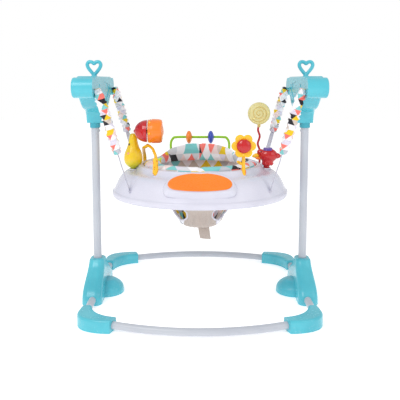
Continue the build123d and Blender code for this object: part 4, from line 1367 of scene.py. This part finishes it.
feature("postEar", (legs["rollerFeet"][0][0] + 0.0135, legs["rollerFeet"][0][1], 0.5215),
        (0.0085, 0.0028, 0.0042), "tray", "toy_yellow",
        extras["limePlastic"], -25)


# Flower: petals with raised rims round a glossy dome
petals = {"count": 6, "inner": 0.0365, "lobe": 0.0048, "rim": 0.0032, "thick": 0.0085}


def makePetals():
    rows = []
    shares = [0.14, 0.45, 0.66, 0.74, 0.82, 0.90, 0.965, 1.0, 1.0, 0.965, 0.85, 0.4, 0.14]
    lifts = [0.2, 0.2, 0.25, 0.6, 0.95, 1.0, 0.75, 0.25, -0.55, -0.95, -1.0, -1.0, -1.0]
    steps = 168
    for share, lift in zip(shares, lifts):
        row = []
        for j in range(steps):
            angle = 2 * math.pi * j / steps
            lobe = abs(math.cos(petals["count"] / 2 * angle)) ** 0.75
            edge = petals["inner"] + petals["lobe"] * (2 * lobe - 1)
            depth = petals["thick"] / 2 * (lift if lift < 0 else lift * 0.9) - 0.0003
            r = edge * share
            row.append(flowerAt + Vector((r * math.cos(angle), -0.011 + 0.0052 - depth,
                                          r * math.sin(angle))))
        rows.append(row)
    rows.append(rows[0])
    return rounded(grid("flowerPetals", rows), 1)


settle(makePetals(), "flower", "toy_yellow", stands=["flower_petals"])
domeFront = [(0, -0.0040), (0.0225, -0.0040), (0.0236, -0.0020), (0.0235, 0.0030), (0.0205, 0.0072),
             (0.0140, 0.0108), (0.0070, 0.0124), (0, 0.0128)]


def domeNotch(angle, depth):
    # the small notch at the top of the dome
    away = abs((angle - math.pi / 2 + math.pi) % (2 * math.pi) - math.pi)
    return 1 - 0.10 * math.exp(-(away / 0.16) ** 2)


dome = turned("flowerDome", [(r, h + 0.0075) for r, h in domeFront], flowerAt, "-Y", 96, 4, dent=domeNotch)
settle(dome, "flower", "toy_red", stands=["flower_dome"])
fx, fy = legs["flowerFoot"]
stem = turned("stem", [(0, deck + 0.0003), (0.0080, deck + 0.0003), (0.0078, 0.476), (0.0062, 0.492),
                       (0.0060, 0.530), (0.0064, 0.572), (0.0050, 0.5755), (0, 0.577)],
              (fx, fy, 0), steps=40)
boss = rod("boss", [(flowerAt.x, fy, flowerAt.z), (flowerAt.x, fy - 0.009, flowerAt.z),
                    (flowerAt.x, flowerAt.y - 0.0045, flowerAt.z)], 0.0038, up=(0, 0, 1))
leaf = fused("leaf", [ball((fx - 0.0125, fy, 0.5085), (0.0125, 0.0032, 0.0055), 32),
                      ball((fx - 0.004, fy, 0.504), (0.006, 0.003, 0.004), 32)], 0.0009, 4)
settle(joined("flowerStem", [stem, boss, leaf]), "tray", "toy_yellow", stands=["flower_stem"])
feature("leafEye", (fx - 0.0155, fy - 0.0032, 0.5095), (0.0016, 0.0010, 0.0016), "tray", "toy_yellow",
        extras["eyeBlack"])
for k, offset in enumerate((-0.0066, 0.0066)):
    feature(f"stemFlank_{k}", (fx + offset, fy - 0.0012, 0.4765), (0.0022, 0.0052, 0.0088), "tray",
            "toy_yellow", finishes["toy_orange"])

# Lollipop: cloudy disc with a raised spiral on both faces
lolly = {"turns": 2.4, "ridge": 0.0016, "rimBar": 0.0024}
discProfile = [(0, -0.0046), (0.0300, -0.0046), (0.0370, -0.0052), (0.0405, -0.0046), (0.0420, -0.0020),
               (0.0420, 0.0020), (0.0405, 0.0046),
               (0.0370, 0.0052), (0.0300, 0.0046), (0, 0.0046)]
settle(turned("lollipopDisc", discProfile, lollyAt, "-Y", 96, 4), "lollipop", "lolly_yellow",
       stands=["lollipop_disc"])


def spiralTree():
    growth = Growth("spiral",
                    {"Turns": "Float", "Inner": "Float", "Outer": "Float", "Ridge": "Float",
                     "Centre": "Vector", "Way": "Rotation"})
    spiral = growth.node("GeometryNodeCurveSpiral", {}, {
        "Resolution": 40, "Rotations": growth.given("Turns"), "Start Radius": growth.given("Inner"),
        "End Radius": growth.given("Outer"), "Height": 0.0})
    section = growth.node("GeometryNodeCurvePrimitiveCircle", {},
                          {"Resolution": 10, "Radius": growth.given("Ridge")})
    ridge = growth.node("GeometryNodeCurveToMesh", {}, {0: spiral, 1: section, "Fill Caps": True})
    placed = growth.node("GeometryNodeTransform", {},
                         {0: ridge, "Translation": growth.given("Centre"), "Rotation": growth.given("Way")})
    growth.close(growth.node("GeometryNodeSetShadeSmooth", {}, {0: placed}), extras["spiralOrange"])
    return growth


spiral = spiralTree()
for name, depth in (("front", -0.0045), ("rear", 0.0045)):
    piece = spiral.grow(f"lollipopSpiral_{name}", polyline("spiralBase", [[(0, 0, 0), (0, 0, 0.001)]]),
                        Turns=lolly["turns"], Inner=0.003,
                        Outer=0.0325, Ridge=lolly["ridge"],
                        Centre=(lollyAt.x, lollyAt.y + depth, lollyAt.z), Way=(math.pi / 2, 0, 0))
    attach(piece, "lollipop")
rim = rod("lollipopRim", [(lollyAt.x + 0.0398 * math.cos(a), lollyAt.y, lollyAt.z + 0.0398 * math.sin(a))
          for a in np.linspace(0, 2 * math.pi, 33)[:-1]], lolly["rimBar"], True, 12, 3, 2.0, (0, 1, 0))
settle(rim, "lollipop", "lolly_yellow", extras["spiralOrange"])
stub = turned("lollipopStub",
              [(0, 0.6085), (0.0052, 0.6085), (0.0062, 0.6110), (0.0060, 0.6180), (0.0048, 0.6230),
               (0, 0.6240)], (lollyAt.x, lollyAt.y, 0), steps=32)
settle(stub, "lollipop", "lolly_yellow", extras["spiralOrange"])
stalkLine = [(lollyFoot.x, lollyFoot.y, deck + 0.0013), (lollyFoot.x, lollyFoot.y, 0.500),
             (lollyFoot.x, lollyFoot.y, 0.522),
             (lollyAt.x - 0.0035, lollyAt.y, 0.546), (lollyAt.x + 0.0035, lollyAt.y, 0.574),
             (lollyAt.x - 0.003, lollyAt.y, 0.597), (lollyAt.x, lollyAt.y, 0.616)]
settle(rod("lollipopStalk", stalkLine, 0.0042, up=(0, 1, 0)), "lollipop", "toy_red",
       stands=["lollipop_stalk"])

# Bird on its round foot
bx, by = birdAt.x + 0.005, birdAt.y
lumps = [ball((bx + 0.001, by, 0.5120), (0.0335, 0.0250, 0.0265)),
         ball((bx + 0.026, by, 0.5110), (0.0215, 0.0120, 0.0115), 4),
         ball((bx - 0.026, by, 0.5230), (0.0150, 0.0140, 0.0125), 20),
         ball((bx + 0.0385, by, 0.5105), (0.0090, 0.0050, 0.0050)),
         ball((bx - 0.001, by, 0.4920), (0.0215, 0.0200, 0.0180))]
for k in range(9):
    angle = 2 * math.pi * k / 9
    lumps.append(ball((bx - 0.001 + 0.0148 * math.cos(angle), by + 0.0148 * math.sin(angle), 0.4825),
                      (0.0072, 0.0072, 0.0072)))
lumps.append(ball((birdAt.x, by, 0.4720), (0.0112, 0.0112, 0.0100)))
settle(fused("birdBody", lumps, 0.0014, 5), "bird", "toy_red", stands=["bird_toy"])
hat = turned("birdHat", [(0, 0.5310), (0.0180, 0.5310), (0.0186, 0.5322), (0.0180, 0.5334),
                         (0.0168, 0.5342), (0.0164, 0.5385), (0.0150, 0.5402), (0, 0.5406)],
             (bx - 0.001, by, 0), steps=48, smooth=4)
settle(hat, "bird", "toy_red", extras["purplePlastic"])
beakTop = fused("beakTop",
                [ball((bx - 0.0440, by, 0.5115), (0.0125, 0.0075, 0.0085), -12),
                 ball((bx - 0.053, by, 0.5085), (0.0055, 0.0040, 0.0045))], 0.0009, 4)
settle(beakTop, "bird", "toy_yellow")
beakLow = fused("beakLow", [ball((bx - 0.0350, by, 0.5020), (0.0120, 0.0065, 0.0062), 8)], 0.0009, 2)
settle(beakLow, "bird", "toy_orange")
for k, end in enumerate((-1, 1)):
    feature(f"birdEye_{k}", (bx - 0.0270, by + end * 0.0128, 0.5270), (0.0024, 0.0018, 0.0028), "bird",
            "toy_red", extras["eyeBlack"])
print("toys made")

# --- Studio ---
studio = {"sky": 0.76, "seen": 1.0, "key": 25, "fill": 7, "floor": 9.0, "glow": 0.42}
floorMesh = bpy.data.meshes.new("floor")
reach = studio["floor"]
floorMesh.from_pydata([(-reach, -reach, 0), (reach, -reach, 0), (reach, reach, 0), (-reach, reach, 0)], [],
                      [(0, 1, 2, 3)])
floor = present("floor", floorMesh)
floorFinish = Finish("floorPaper", Roughness=0.9)
floorFinish.feed(Base_Color=floorFinish.mix(floorFinish.noise(floorFinish.place(), 2),
                                            (0.93, 0.93, 0.93, 1), (0.95, 0.95, 0.95, 1)))
floorFinish.shader.inputs["Emission Color"].default_value = (1, 1, 1, 1)
floorFinish.shader.inputs["Emission Strength"].default_value = studio["glow"]
floorMesh.materials.append(floorFinish.material)
world = bpy.data.worlds.new("softRoom")
bpy.context.scene.world = world
world.use_nodes = True
room = Graph(world.node_tree)
seen = room.node("ShaderNodeLightPath")
sky = world.node_tree.nodes["Background"]
sky.inputs[0].default_value = (1, 1, 1, 1)
plug(world.node_tree, sky.inputs[1], seen * (studio["seen"] - studio["sky"]) + studio["sky"])


def softbox(name, place, size, power):
    light = bpy.data.objects.new(name, bpy.data.lights.new(name, "AREA"))
    light.data.size, light.data.energy = size, power
    light.location = place
    light.rotation_euler = (Vector((0, 0, 0.4)) - Vector(place)).to_track_quat("-Z", "Y").to_euler()
    bpy.context.scene.collection.objects.link(light)


softbox("keyLight", (-1.3, -1.8, 2.4), 1.4, studio["key"])
softbox("fillLight", (1.9, -1.3, 1.6), 1.6, studio["fill"])
bpy.context.scene.view_settings.view_transform = "Standard"
print("studio set")
